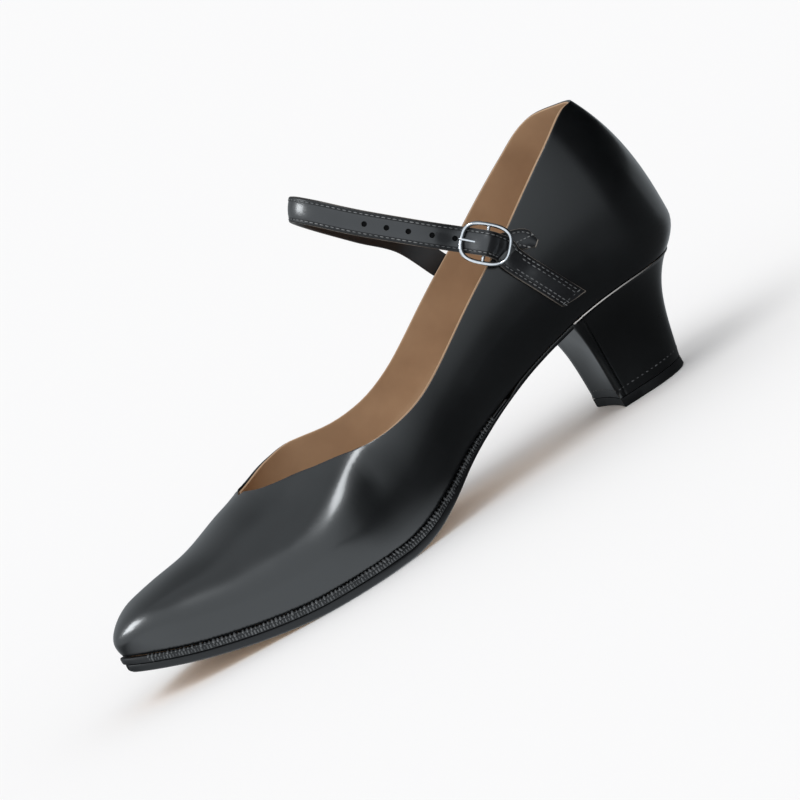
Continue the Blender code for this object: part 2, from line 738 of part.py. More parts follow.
def box_between(name, start, end, width, height):
    """A cutter from start to end in the buckle's directions."""
    axes = buckle_axes()
    bm = bmesh.new()
    corners = []
    for place in (start, end):
        for a, b in ((-1, -1), (1, -1), (1, 1), (-1, 1)):
            spot = place + axes.across * (a * width / 2) + axes.out * (b * height / 2)
            corners.append(bm.verts.new((spot.x - ORIGIN_FROM_BACK, spot.y, spot.z)))
    for face in ((0, 1, 2, 3), (7, 6, 5, 4)):
        bm.faces.new([corners[i] for i in face])
    for i in range(4):
        j = (i + 1) % 4
        bm.faces.new((corners[i], corners[i + 4], corners[j + 4], corners[j]))
    bmesh.ops.recalc_face_normals(bm, faces=bm.faces)
    mesh = bpy.data.meshes.new(name)
    bm.to_mesh(mesh)
    bm.free()
    made = bpy.data.objects.new(name, mesh)
    made.hide_render = True
    made.display_type = "WIRE"
    CUTTERS.objects.link(made)
    return made


clear_scene()
SHOE = new_collection("character_shoe")
CUTTERS = new_collection("cutters")
BLACK_LEATHER = material("black_leather", (0.018, 0.019, 0.021), 0.32)
SOLE_LEATHER = material("sole_leather", (0.62, 0.43, 0.26), 0.6)
EDGE_BLACK = material("edge_black", (0.012, 0.012, 0.012), 0.5)
LINING = material("lining", (0.55, 0.38, 0.24), 0.7)
CHROME = material("chrome", (0.78, 0.79, 0.80), 0.12, 1.0)

build_upper(BLACK_LEATHER)
build_outsole(SOLE_LEATHER)
build_welt(EDGE_BLACK)
build_insole(LINING)
build_heel(BLACK_LEATHER)
build_top_piece(SOLE_LEATHER)
build_strap(BLACK_LEATHER)
build_buckle_frame(CHROME)
build_prong(CHROME)
build_tab(BLACK_LEATHER)
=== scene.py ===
"""A left character shoe, empty, standing on a pale studio floor."""

import math
from collections import namedtuple

import bmesh
import bpy
from mathutils import Matrix, Vector


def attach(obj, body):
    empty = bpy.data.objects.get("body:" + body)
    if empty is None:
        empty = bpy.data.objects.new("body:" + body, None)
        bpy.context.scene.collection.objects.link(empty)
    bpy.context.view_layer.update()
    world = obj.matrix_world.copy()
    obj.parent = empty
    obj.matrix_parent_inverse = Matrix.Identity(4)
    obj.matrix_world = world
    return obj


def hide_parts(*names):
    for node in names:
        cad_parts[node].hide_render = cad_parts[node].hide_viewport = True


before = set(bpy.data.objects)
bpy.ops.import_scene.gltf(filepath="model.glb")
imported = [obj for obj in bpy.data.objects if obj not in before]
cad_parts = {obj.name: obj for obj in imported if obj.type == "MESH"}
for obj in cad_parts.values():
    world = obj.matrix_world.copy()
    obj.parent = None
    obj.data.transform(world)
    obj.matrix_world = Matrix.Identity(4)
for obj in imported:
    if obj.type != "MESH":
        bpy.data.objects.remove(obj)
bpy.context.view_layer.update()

# Camera: a long lens from the shoe's outer side, low and from a little behind the middle, rolled
# so that the toe points down to the left.
VIEW_AZIMUTH, VIEW_ELEVATION, VIEW_ROLL = 164.95, 8.69, -30.03
VIEW_DISTANCE, VIEW_LENS = 1.4907, 192.0
VIEW_AIM = Vector((0.0815, 0.0, 0.0430))


def placed(name, data):
    """A new object in the scene."""
    made = bpy.data.objects.new(name, data)
    bpy.context.scene.collection.objects.link(made)
    return made


def aimed(made, azimuth, elevation, distance, roll=0.0):
    """Puts an object this far from the shoe's middle, looking at it."""
    a, e, r = (math.radians(v) for v in (azimuth, elevation, roll))
    back = Vector((math.sin(a) * math.cos(e), -math.cos(a) * math.cos(e), math.sin(e)))
    level = Vector((math.cos(a), math.sin(a), 0))
    right = level * math.cos(r) + back.cross(level) * math.sin(r)
    place = Matrix((right, back.cross(right), back)).transposed().to_4x4()
    place.translation = VIEW_AIM + back * distance
    made.matrix_world = place


camera = placed("camera", bpy.data.cameras.new("camera"))
camera.data.lens, camera.data.sensor_width, camera.data.clip_start = VIEW_LENS, 36, 0.05
aimed(camera, VIEW_AZIMUTH, VIEW_ELEVATION, VIEW_DISTANCE, VIEW_ROLL)
bpy.context.scene.camera = camera
bpy.context.scene.view_settings.view_transform = "Standard"

# Studio: a near-white floor under even light. The leather mirrors a pale wall from the toe round
# to the front, a ceiling and a dark room beyond the heel, which give the vamp its grey sheen and
# keep the heel black. Two small boxes make the points of light.
FLOOR_COLOUR, FLOOR_RADIUS, ROOM_LIGHT = (0.88, 0.88, 0.885, 1), 60.0, 0.88
WALL_LIGHT, CEILING_LIGHT, ZENITH_LIGHT = 1.55, 0.36, 0.80
WALL_SHARES = [(0, 0.26), (40, 0.40), (71, 0.68), (113, 0.98), (150, 1.0), (184, 1.0), (191, 0.74)]
WALL_SHARES += [(199, 0.44), (207, 0.16), (220, 0.005), (325, 0.005), (360, 0.26)]  # by azimuth
CEILING_SINES, ZENITH_SINES = (0.45, 0.85), (0.86, 0.98)  # of the elevation
# In the leather's reflections the floor is not lit but glows, brightest on a card beside the toe
# and dimmer elsewhere. This is a painted reflection.
CARD_ALONG, CARD_ASIDE = (0.060, 0.115), (-0.03, 0.03)  # where the floor beside the toe turns pale
FAR_ASIDE = (-0.10, 0.0)
CARD_LIGHT, FLOOR_NEAR, FLOOR_FAR = 1.65, 0.11, 0.46
MIRRORED_TINT = (0.88, 0.95, 1.0, 1)


def nodes_of(owner):
    """The nodes and the links of a material or a world."""
    owner.use_nodes = True
    return owner.node_tree.nodes, owner.node_tree.links


def filled(made, **inputs):
    """A node with these values in its inputs; _ in a name stands for a space."""
    for name, value in inputs.items():
        made.inputs[name.replace("_", " ")].default_value = value
    return made


def wired(links, *joins):
    """Joins nodes; each row is (from node, its output, to node, its input)."""
    for source, output, target, into in joins:
        links.new(source.outputs[output], target.inputs[into])


def ramp(tree, *stops):
    """A colour ramp through these (position, colour) stops."""
    made = tree.new("ShaderNodeValToRGB")
    marks = made.color_ramp.elements
    for i, (position, colour) in enumerate(stops):
        mark = marks[i] if i < 2 else marks.new(position)
        mark.position, mark.color = position, (*colour, 1)
    return made


def axes_of(tree, links, which="Object"):
    """The place of each point that is shaded, and the three parts of it."""
    place = tree.new("ShaderNodeTexCoord").outputs[which]
    axes = tree.new("ShaderNodeSeparateXYZ")
    links.new(place, axes.inputs[0])
    return place, axes.outputs


def eased(tree, links, value, ends, low=0.0, high=1.0):
    """A smooth step of the value from one end to the other."""
    step = tree.new("ShaderNodeMapRange")
    step.interpolation_type = "SMOOTHSTEP"
    filled(step, From_Min=ends[0], From_Max=ends[1], To_Min=low, To_Max=high)
    links.new(value, step.inputs["Value"])
    return step.outputs["Result"]


def combined(tree, links, how, one, two=None, three=None):
    """A Math node's result; the inputs are sockets or numbers."""
    made = tree.new("ShaderNodeMath")
    made.operation = how
    for socket, given in zip(made.inputs, (one, two, three)):
        if isinstance(given, (int, float)):
            socket.default_value = given
        elif given:
            links.new(given, socket)
    return made.outputs[0]


def for_mirrors(tree, links, plain, mirrored, output):
    """Glossy surfaces see the second shader, all else sees the first."""
    choose = tree.new("ShaderNodeMixShader")
    sight = tree.new("ShaderNodeLightPath")
    wired(
        links,
        (sight, "Is Glossy Ray", choose, 0),
        (plain, 0, choose, 1),
        (mirrored, 0, choose, 2),
        (choose, 0, tree[output], "Surface"),
    )


bm = bmesh.new()
bmesh.ops.create_circle(bm, cap_ends=True, segments=64, radius=FLOOR_RADIUS)
floor_mesh = bpy.data.meshes.new("floor")
bm.to_mesh(floor_mesh)
bm.free()
floor = placed("floor", floor_mesh)
paint = bpy.data.materials.new("floor")
tree, links = nodes_of(paint)
shader = tree["Principled BSDF"]
filled(shader, Base_Color=FLOOR_COLOUR, Roughness=0.8, Specular_IOR_Level=0.0)
_, axes = axes_of(tree, links)
# Seen in reflections, the floor glows instead of being lit: a painted reflection, brightest on the
# card beside the toe.
aside = eased(tree, links, axes["Y"], CARD_ASIDE)
card = combined(tree, links, "MULTIPLY", eased(tree, links, axes["X"], CARD_ALONG), aside)
card = combined(tree, links, "MULTIPLY", card, CARD_LIGHT)
far = eased(tree, links, axes["Y"], FAR_ASIDE, FLOOR_FAR, FLOOR_NEAR)
glow = filled(tree.new("ShaderNodeEmission"), Color=MIRRORED_TINT)
links.new(combined(tree, links, "MAXIMUM", card, far), glow.inputs["Strength"])
for_mirrors(tree, links, shader, glow, "Material Output")
floor_mesh.materials.append(paint)

world = bpy.data.worlds.new("studio")
tree, links = nodes_of(world)
world.cycles.sampling_method = "NONE"
bpy.context.scene.world = world
_, axes = axes_of(tree, links, "Generated")
towards = combined(tree, links, "MULTIPLY", axes["Y"], -1.0)
turn = combined(tree, links, "ARCTAN2", axes["X"], towards)
around = combined(tree, links, "FRACT", combined(tree, links, "DIVIDE", turn, math.tau))
wall = ramp(tree, *((azimuth / 360, (share, share, share)) for azimuth, share in WALL_SHARES))
links.new(around, wall.inputs["Fac"])
wall = combined(tree, links, "MULTIPLY", wall.outputs["Color"], WALL_LIGHT)
ceiling = eased(tree, links, axes["Z"], CEILING_SINES, 0.0, CEILING_LIGHT)
above = eased(tree, links, axes["Z"], ZENITH_SINES)
below = combined(tree, links, "SUBTRACT", 1.0, above)
wall = combined(tree, links, "MULTIPLY", combined(tree, links, "MAXIMUM", wall, ceiling), below)
wall = combined(tree, links, "MULTIPLY_ADD", above, ZENITH_LIGHT, wall)
mirrored = filled(tree["Background"], Color=MIRRORED_TINT)
links.new(wall, mirrored.inputs["Strength"])
room = filled(tree.new("ShaderNodeBackground"), Color=(1.0, 1.0, 1.0, 1), Strength=ROOM_LIGHT)
for_mirrors(tree, links, room, mirrored, "World Output")

daylight = placed("daylight", bpy.data.lights.new("daylight", "SUN"))
daylight.data.energy, daylight.data.angle = 0.75, math.radians(40)
daylight.visible_glossy = False
aimed(daylight, 120, 62, 3.0)

Box = namedtuple("Box", "name azimuth elevation distance width height radiance")
BOX_TINT = (0.93, 0.97, 1.0)
for box in (
    Box("bend_spot", 182, 56, 1.6, 0.34, 0.34, 22.0),
    Box("toe_spot", 76, 36, 1.6, 0.54, 0.50, 18.0),
):
    data = bpy.data.lights.new(box.name, "AREA")
    data.shape, data.size, data.size_y = "RECTANGLE", box.width, box.height
    data.energy = box.radiance * math.pi * box.width * box.height
    data.color = BOX_TINT
    light = placed(box.name, data)
    light.visible_diffuse = light.visible_camera = False
    aimed(light, box.azimuth, box.elevation, box.distance)


# Upper: two layers pulled over a last. The outer one is smooth dressed calf, skived and turned at
# the topline; the last's shape is kept here as rows of shares along the shoe.
ORIGIN_FROM_BACK = 0.0374  # the frame's origin is this far from the back of the heel curve
LENGTH, BALL_WIDTH, BELLY_WIDTH, LAST_DEPTH = 0.2500, 0.0755, 0.0770, 0.0860
SEAT_HEIGHT, SEAT_DROP, BREAST_TOP, BREAST_SLOPE = 0.0402, 0.0031, 0.0576, 0.20
TOE_SPRING, SPRING_POWER = 0.0132, 1.7
HEEL_TUCK, TOE_TUCK, COLLAR_LEAN, LEAN_POWER, LEAN_SHARE = 0.0069, 0.0007, 0.0120, 2.6, 0.70
SOLE_THICK, WAIST_THICK, WELT_THICK, WELT_END_THICK = 0.0030, 0.0016, 0.0024, 0.0007
GAP = 0.0003
FLAT_FROM, FLAT_TO, WELT_FROM, THROAT = 0.605, 0.745, 0.365, 0.739
HEEL_ROUND, TOE_ROUND, NOSE_ROUND = 0.112, 0.100, 0.059
BACK_ZONE, TOE_ZONE = 0.30, 0.90
ROUNDED_UP_TO = math.radians(48)  # the sides start out round from the belly up to this angle
CALF_THICK = 0.0010
# where the calf is drawn softly over the belly: along the shoe, up its side, and how strongly
SOFT_FROM, SOFT_TO, SOFT_LOW, SOFT_HIGH, SOFT_FADE, SOFT_PULL = 0.45, 0.97, 0.35, 1.55, 0.35, 0.6

Section = namedtuple(
    "Section",
    "along feather_out feather_in belly_out belly_in belly_rise crown ridge full_out full_in",
)
SECTIONS = [
    (0.00, 0.345, 0.345, 0.372, 0.372, 0.125, 0.931, 0.00, 2.0, 2.0),
    (0.12, 0.350, 0.345, 0.384, 0.376, 0.160, 0.988, 0.00, 2.0, 2.0),
    (0.24, 0.322, 0.290, 0.384, 0.362, 0.190, 0.96, 0.02, 2.0, 2.0),
    (0.34, 0.315, 0.235, 0.388, 0.345, 0.195, 0.905, 0.04, 2.0, 2.0),
    (0.44, 0.345, 0.215, 0.408, 0.350, 0.175, 0.82, 0.07, 2.0, 2.0),
    (0.52, 0.415, 0.275, 0.445, 0.375, 0.155, 0.775, 0.10, 1.9, 2.1),
    (0.60, 0.479, 0.375, 0.484, 0.420, 0.135, 0.721, 0.122, 1.7, 2.2),
    (0.66, 0.520, 0.440, 0.520, 0.458, 0.125, 0.595, 0.116, 1.6, 2.3),
    (0.72, 0.506, 0.465, 0.511, 0.476, 0.115, 0.468, 0.092, 1.6, 2.3),
    (0.78, 0.438, 0.445, 0.448, 0.458, 0.105, 0.408, 0.061, 1.75, 2.2),
    (0.84, 0.361, 0.390, 0.377, 0.405, 0.100, 0.332, 0.044, 1.9, 2.2),
    (0.90, 0.286, 0.315, 0.301, 0.330, 0.100, 0.274, 0.027, 2.1, 2.2),
    (0.95, 0.228, 0.255, 0.245, 0.270, 0.099, 0.211, 0.020, 2.2, 2.2),
    (1.00, 0.160, 0.185, 0.175, 0.200, 0.043, 0.135, 0.010, 2.2, 2.2),
]
SECTIONS = [Section(*row) for row in SECTIONS]
Waist = namedtuple("Waist", "along height")
WAIST = [(0.00, 1.000), (0.15, 0.896), (0.33, 0.736), (0.48, 0.580), (0.61, 0.419)]
WAIST += [(0.74, 0.227), (0.85, 0.091), (0.93, 0.030), (1.00, 0.000)]
WAIST = [Waist(*row) for row in WAIST]
Cut = namedtuple("Cut", "along outer inner")  # degrees round from the belly
TOPLINE = [(0.00, 47.5, 47.5), (0.05, 45.2, 45.2), (0.14, 34.3, 34.3), (0.24, 23.7, 24.7)]
TOPLINE += [(0.30, 19.5, 21.0), (0.42, 14.9, 16.4), (0.48, 15.7, 17.9), (0.56, 24.8, 27.3)]
TOPLINE += [(0.61, 33.5, 35.5), (0.68, 52.8, 50.0), (0.72, 70.9, 66.0)]
TOPLINE += [(THROAT, 90.0, 90.0), (1.00, 90.0, 90.0)]
TOPLINE = [Cut(*row) for row in TOPLINE]


def hermite(p, q, start, end, t):
    return (
        p * (2 * t**3 - 3 * t**2 + 1)
        + q * (3 * t**2 - 2 * t**3)
        + start * (t**3 - 2 * t**2 + t)
        + end * (t**3 - t**2)
    )


def read_table(rows, along, column):
    """The column's value at this place, on a smooth curve through the rows."""
    last = len(rows) - 1
    i = max(0, min(last - 1, sum(row.along <= along for row in rows) - 1))
    a, b = rows[i], rows[i + 1]
    span = b.along - a.along

    def slope(k):
        low, high = rows[max(0, k - 1)], rows[min(last, k + 1)]
        return (getattr(high, column) - getattr(low, column)) / (high.along - low.along)

    t = min(1.0, max(0.0, (along - a.along) / span))
    p, q = getattr(a, column), getattr(b, column)
    return hermite(p, q, slope(i) * span, slope(i + 1) * span, t)


def smooth(t):
    t = min(1.0, max(0.0, t))
    return t * t * (3 - 2 * t)


def end_round(share, length):
    """0 at an end, 1 once `length` away from it, along a quarter circle."""
    near = min(1.0, max(0.0, share / length))
    return math.sqrt(max(0.0, 1 - (1 - near) ** 2))


def feather_height(along):
    """The line where the upper meets the sole."""
    flat = SOLE_THICK + WELT_THICK + 2 * GAP
    breast = BREAST_TOP / LENGTH
    breast_height = SEAT_HEIGHT - SEAT_DROP
    if along <= breast:
        return hermite(SEAT_HEIGHT, breast_height, 0.0, -BREAST_SLOPE * BREAST_TOP, along / breast)
    if along <= FLAT_FROM:
        way = (along - breast) / (FLAT_FROM - breast)
        return flat + (breast_height - flat) * read_table(WAIST, way, "height")
    return flat + TOE_SPRING * max(0.0, (along - FLAT_TO) / (1 - FLAT_TO)) ** SPRING_POWER


def last_point(side, along, row):
    """A point of the upper's outer face. side is 1 for outer and -1 for inner, row runs from 0 at
    the feather line through 1 at the belly to 2 at the topline or the instep line."""
    out = side > 0
    ends = end_round(along, HEEL_ROUND) * end_round(1 - along, TOE_ROUND)
    feather = feather_height(along)
    belly = feather + LAST_DEPTH * read_table(SECTIONS, along, "belly_rise")
    crown = feather + LAST_DEPTH * read_table(SECTIONS, along, "crown")
    crown = belly + (crown - belly) * end_round(1 - along, NOSE_ROUND)
    ridge = -BALL_WIDTH * read_table(SECTIONS, along, "ridge") * ends
    low = BALL_WIDTH * ends * read_table(SECTIONS, along, "feather_out" if out else "feather_in")
    wide = BELLY_WIDTH * ends * read_table(SECTIONS, along, "belly_out" if out else "belly_in")
    full = read_table(SECTIONS, along, "full_out" if out else "full_in")
    if row <= 1:
        y = side * (wide - (wide - low) * (1 - row) ** 2)
        z = feather + (belly - feather) * row
    else:
        cut = 90.0 if along >= THROAT else read_table(TOPLINE, along, "outer" if out else "inner")
        angle = math.radians((row - 1) * min(90.0, cut))
        full = 2.0 + (full - 2.0) * smooth(angle / ROUNDED_UP_TO)
        y = ridge + (side * wide - ridge) * max(0.0, math.cos(angle)) ** (2 / full)
        z = belly + (crown - belly) * max(0.0, math.sin(angle)) ** (2 / full)
    below = (belly - z) / (belly - feather)
    if z < belly:
        lean = HEEL_TUCK * below**2
    else:
        height = LEAN_SHARE * (LAST_DEPTH - (belly - feather))
        lean = COLLAR_LEAN * ((z - belly) / height) ** LEAN_POWER
    lean *= max(0.0, 1 - along / BACK_ZONE) ** 2
    tuck = TOE_TUCK * max(0.0, below) ** 2 * smooth((along - TOE_ZONE) / (1 - TOE_ZONE))
    return Vector((along * LENGTH + lean - tuck - ORIGIN_FROM_BACK, y, z))


def last_normal(side, along, row):
    step = 0.004
    ahead = last_point(side, min(1.0, along + step), row) - last_point(side, along - step, row)
    up = last_point(side, along, min(2.0, row + step)) - last_point(side, along, row - step)
    return (side * up.cross(ahead)).normalized()


def on_quarter(side, along, row, lift=0.0):
    return last_point(side, along, row) + last_normal(side, along, row) * lift


def stations(start, end, count):
    """Places from start to end, closer together near the tips of the heel and the toe."""
    first, last = math.acos(1 - 2 * start), math.acos(1 - 2 * end)
    return [(1 - math.cos(first + (last - first) * i / count)) / 2 for i in range(count + 1)]


def skin(bm, rings, closed=True, capped=False):
    """Faces between each ring of points and the next; the rings are loops when closed."""
    made = [[bm.verts.new(point) for point in ring] for ring in rings]
    for one, two in zip(made, made[1:]):
        for i in range(len(one) if closed else len(one) - 1):
            j = (i + 1) % len(one)
            bm.faces.new((one[i], one[j], two[j], two[i]))
    if capped:
        bm.faces.new(made[0][::-1])
        bm.faces.new(made[-1])
    return made


def joined_up(bm, nearest=1e-6):
    """Merges doubles and turns the faces outwards."""
    bmesh.ops.remove_doubles(bm, verts=bm.verts, dist=nearest)
    bmesh.ops.dissolve_degenerate(bm, edges=bm.edges, dist=nearest)
    bmesh.ops.recalc_face_normals(bm, faces=bm.faces)


def piece_from(name, bm, finishes, sharp=None):
    """One smooth piece with these finishes. Edges steeper than `sharp` degrees stay crisp."""
    joined_up(bm)
    mesh = bpy.data.meshes.new(name)
    bm.to_mesh(mesh)
    bm.free()
    mesh.shade_smooth()
    if sharp:
        mesh.set_sharp_from_angle(angle=math.radians(sharp))
    for finish in finishes:
        mesh.materials.append(finish)
    return placed(name, mesh)


def hand_over(piece, slot, *replaced):
    """Attaches the piece to the root body and hides the solids that it stands for. The slot is not
    used.
    """
    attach(piece, "root")
    if replaced:
        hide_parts(*replaced)


def settle(piece, sharp=None):
    """Applies the piece's modifiers, so that what is seen is a plain mesh."""
    graph = bpy.context.evaluated_depsgraph_get()
    mesh = bpy.data.meshes.new_from_object(piece.evaluated_get(graph))
    piece.modifiers.clear()
    piece.data = mesh
    mesh.name = piece.name
    if sharp:
        mesh.set_sharp_from_angle(angle=math.radians(sharp))


Crease = namedtuple("Crease", "start end width height")
CREASES = [  # a worn ridge that runs down from the bend of the vamp, and soft troughs beside it
    Crease((0.1120, 0.0298, 0.0402), (0.1500, 0.0335, 0.0245), 0.0036, 0.00040),
    Crease((0.1280, 0.0262, 0.0405), (0.1560, 0.0275, 0.0310), 0.0040, -0.00028),
    Crease((0.1140, 0.0345, 0.0290), (0.1370, 0.0380, 0.0160), 0.0042, -0.00030),
]


def crease_at(spot):
    """How far the worn leather stands out (or in) at this point of the vamp."""
    rise = 0.0
    for crease in CREASES:
        start, end = Vector(crease.start), Vector(crease.end)
        run = end - start
        share = min(1.0, max(0.0, (spot - start).dot(run) / run.length_squared))
        away = (spot - start.lerp(end, share)).length / crease.width
        rise += crease.height * math.exp(-away * away) if away < 3 else 0.0
    return rise


def softened(line, rows, times=8):
    """The same column of points, its curve evened out round the belly."""
    for _ in range(times):
        before = [point.copy() for point in line]
        for i in range(1, len(line) - 1):
            above, below = rows[i] - SOFT_LOW, SOFT_HIGH - rows[i]
            hold = smooth(above / SOFT_FADE) * smooth(below / SOFT_FADE)
            line[i] = before[i].lerp((before[i - 1] + before[i + 1]) / 2, SOFT_PULL * hold)
    return line


def upper_skin(inset, rise, columns, low_rows, high_rows):
    """The last's surface moved in by `inset`, its top edge raised by `rise` past the topline."""
    bm = bmesh.new()
    places = stations(0.0, 1.0, columns)
    nearest = min(range(len(places)), key=lambda i: abs(places[i] - THROAT))
    places[nearest] = THROAT
    rows = [i / low_rows for i in range(low_rows)]
    rows += [1 + i / high_rows for i in range(high_rows + 1)]
    for side in (1, -1):
        grid = []
        for along in places:
            line = [last_point(side, along, row) for row in rows]
            if SOFT_FROM < along < SOFT_TO:
                line = softened(line, rows)
            if along < THROAT and rise:
                line[-1] += (line[-1] - line[-2]).normalized() * rise
            grid.append(line)
        skin(bm, grid, closed=False)
    joined_up(bm, 2e-5)
    bm.normal_update()
    moves = [(v, v.normal * (crease_at(v.co) - inset)) for v in bm.verts]
    for v, move in moves:
        v.co += move
    return bm


def walled(piece, thickness, edge):
    """Gives a skin its wall, inwards, and rounds its cut edges."""
    wall = piece.modifiers.new("wall", "SOLIDIFY")
    wall.thickness, wall.offset, wall.use_even_offset = thickness, -1, False
    rounding = piece.modifiers.new("edge", "BEVEL")
    rounding.width, rounding.segments = edge, 3
    rounding.limit_method, rounding.angle_limit = "ANGLE", math.radians(55)
    settle(piece)


def leather_grain():
    """Fine pores and soft unevenness of smooth dressed calf."""
    group = bpy.data.node_groups.new("leather_grain", "ShaderNodeTree")
    for name, default in (("Pores", 1800.0), ("Clouds", 55.0)):
        socket = group.interface.new_socket(name, in_out="INPUT", socket_type="NodeSocketFloat")
        socket.default_value = default
    for name in ("Height", "Cloud"):
        group.interface.new_socket(name, in_out="OUTPUT", socket_type="NodeSocketFloat")
    tree, links = group.nodes, group.links
    given, result = tree.new("NodeGroupInput"), tree.new("NodeGroupOutput")
    place = tree.new("ShaderNodeTexCoord")
    pores = tree.new("ShaderNodeTexVoronoi")
    pores.feature = "SMOOTH_F1"
    clouds = filled(tree.new("ShaderNodeTexNoise"), Detail=3)
    wrinkle = filled(tree.new("ShaderNodeTexNoise"), Detail=4)
    scale = combined(tree, links, "MULTIPLY", given.outputs["Pores"], 0.28)
    links.new(scale, wrinkle.inputs["Scale"])
    rough = wrinkle.outputs["Fac"], 0.6, pores.outputs["Distance"]
    links.new(combined(tree, links, "MULTIPLY_ADD", *rough), result.inputs["Height"])
    wired(
        links,
        *((place, "Object", texture, "Vector") for texture in (pores, clouds, wrinkle)),
        (given, "Pores", pores, "Scale"),
        (given, "Clouds", clouds, "Scale"),
        (clouds, "Fac", result, "Cloud"),
    )
    return group


LEATHER_GRAIN = leather_grain()


def leather(name, dark, light, roughness, bump=0.00002, coat=0.25, pores=1800.0, shine=0.5):
    """A dressed leather: two near colours in soft clouds, fine grain and a thin finish coat."""
    made = bpy.data.materials.new(name)
    tree, links = nodes_of(made)
    shader = tree["Principled BSDF"]
    filled(shader, Specular_IOR_Level=shine, Coat_Weight=coat, Coat_Roughness=0.16)
    grain = tree.new("ShaderNodeGroup")
    grain.node_tree = LEATHER_GRAIN
    filled(grain, Pores=pores)
    colour = ramp(tree, (0.35, dark), (0.65, light))
    rough = filled(tree.new("ShaderNodeMapRange"), From_Min=0.3, From_Max=0.7)
    filled(rough, To_Min=roughness - 0.03, To_Max=roughness + 0.04)
    relief = filled(tree.new("ShaderNodeBump"), Strength=0.5, Distance=bump)
    wired(
        links,
        (grain, "Cloud", colour, "Fac"),
        (grain, "Cloud", rough, "Value"),
        (grain, "Height", relief, "Height"),
        (colour, "Color", shader, "Base Color"),
        (rough, "Result", shader, "Roughness"),
        (relief, "Normal", shader, "Normal"),
    )
    return made


BLACK_CALF = leather(
    "black_calf", (0.0015, 0.0018, 0.0023), (0.0026, 0.0031, 0.0038), 0.31, coat=0.55, shine=0.36
)
upper_outer = piece_from("upper_outer", upper_skin(0.0, -CALF_THICK / 3, 150, 6, 30), [BLACK_CALF])
walled(upper_outer, CALF_THICK, 0.0004)
hand_over(upper_outer, "black_leather", "upper")

# Lining: thin tan leather glued inside the upper, trimmed a hair above the topline, where its cut
# edge shows as a thin light line.
TAN_LINING = leather("tan_lining", (0.42, 0.27, 0.16), (0.50, 0.33, 0.20), 0.6, 0.00003, 0.0, 1400)
LINING_THICK, LINING_RISE = 0.0007, 0.0002
upper_lining = piece_from(
    "upper_lining", upper_skin(CALF_THICK + 0.00003, LINING_RISE, 120, 6, 24), [TAN_LINING]
)
walled(upper_lining, LINING_THICK, 0.00025)
hand_over(upper_lining, "lining", "upper")

# Insole: a board covered by a sock of the lining's tan leather. It closes the inside, and its top
# edge is drawn out to meet the lining.
UPPER_WALL, INSOLE_RISE = 0.0018, 0.0022
SOCK_INSET = UPPER_WALL * 1.25 + GAP
SOCK_DROP_OVER = 0.016  # the welt's ends are let in under the sock over this length
EDGE_TIP = 0.0006  # a flat piece ends this far short of its rounded tip


def outline_point(side, along, out):
    """The feather line in plan, moved outwards by `out`."""
    step = 0.0015
    a = last_point(side, max(0.0, along - step), 0)
    b = last_point(side, min(1.0, along + step), 0)
    here = last_point(side, along, 0)
    run = Vector((b.x - a.x, b.y - a.y, 0)).normalized()
    normal = Vector((-run.y, run.x, 0)) * side
    if along > 1 - 1e-6:
        normal = Vector((1, 0, 0))
    elif along < 1e-6:
        normal = Vector((-1, 0, 0))
    return Vector((here.x, here.y, 0)) + normal * out


def share_at(spot):
    return (spot.x + ORIGIN_FROM_BACK) / LENGTH


def slab(places, out_of, bottom_of, top_of, edge, across, dark_edge=0, rim=None):
    """A flat closed piece from its back end to its tip. edge: (share of the height, how far in the
    edge lies there), bottom first. across: how many faces lie across each flat. dark_edge: the slot
    of all faces but those underneath. rim: gives the top edge's places instead."""
    bm = bmesh.new()
    shares = [1 - 2 * i / across for i in range(1, across)]
    rings = []
    for along in places:
        out = out_of(along)
        ring = []
        for side, steps in ((1, edge), (-1, edge[::-1])):
            for share, inset in steps:
                spot = outline_point(side, along, out - inset)
                low, high = bottom_of(share_at(spot)), top_of(share_at(spot))
                spot.z = low + share * (high - low)
                ring.append(rim(side, along) if rim and share == 1 else spot)
            outer = outline_point(1, along, out - edge[0][1])
            inner = outline_point(-1, along, out - edge[0][1])
            if rim and side > 0:
                outer, inner = rim(1, along), rim(-1, along)
            level = top_of if side > 0 else bottom_of
            for share in shares if side > 0 else shares[::-1]:
                spot = inner.lerp(outer, (share + 1) / 2)
                ring.append(Vector((spot.x, spot.y, level(share_at(spot)))))
        rings.append(ring)
    made = skin(bm, rings)
    round_it = len(rings[0])
    for number, face in enumerate(bm.faces):
        face.material_index = 0 if number % round_it >= round_it - across else dark_edge
    bm.faces.new(made[0][::-1]).material_index = dark_edge
    bm.faces.new(made[-1]).material_index = dark_edge
    return bm


def from_waist(along, ends, early=0.0):
    """From the first of the ends to the second, between the welt's ends and the flat."""
    grown = smooth((along - WELT_FROM) / (FLAT_FROM - WELT_FROM) + early)
    return ends[0] + (ends[1] - ends[0]) * grown


def welt_thickness(along):
    return from_waist(along, (WELT_END_THICK, WELT_THICK))


def sock_bottom(along):
    drop = smooth((along - WELT_FROM) * LENGTH / SOCK_DROP_OVER)
    return feather_height(along) - drop * (welt_thickness(along) + GAP)


def sock_top(along):
    return feather_height(along) + INSOLE_RISE


def sock_rim(side, along):
    """Where the top of the sock meets the lining's inner face."""
    feather, belly = feather_height(along), last_point(side, along, 1).z
    level = sock_top(along)
    row = 0.0
    for _ in range(4):
        spot = on_quarter(side, along, row, -(CALF_THICK + LINING_THICK + GAP / 2))
        row = min(1.0, max(0.0, row + (level - spot.z) / (belly - feather)))
    return Vector((spot.x, spot.y, level))


SOCK_LEATHER = leather(
    "sock_leather", (0.46, 0.30, 0.18), (0.55, 0.37, 0.23), 0.55, 0.00003, 0.05, 1300
)
sock = slab(
    stations(EDGE_TIP, 1 - EDGE_TIP, 90),
    lambda _: -SOCK_INSET,
    sock_bottom,
    sock_top,
    [(0.0, 0.0), (0.6, 0.0), (1.0, 0.0)],
    12,
    rim=sock_rim,
)
hand_over(piece_from("insole_sock", sock, [SOCK_LEATHER], 50), "lining", "insole")

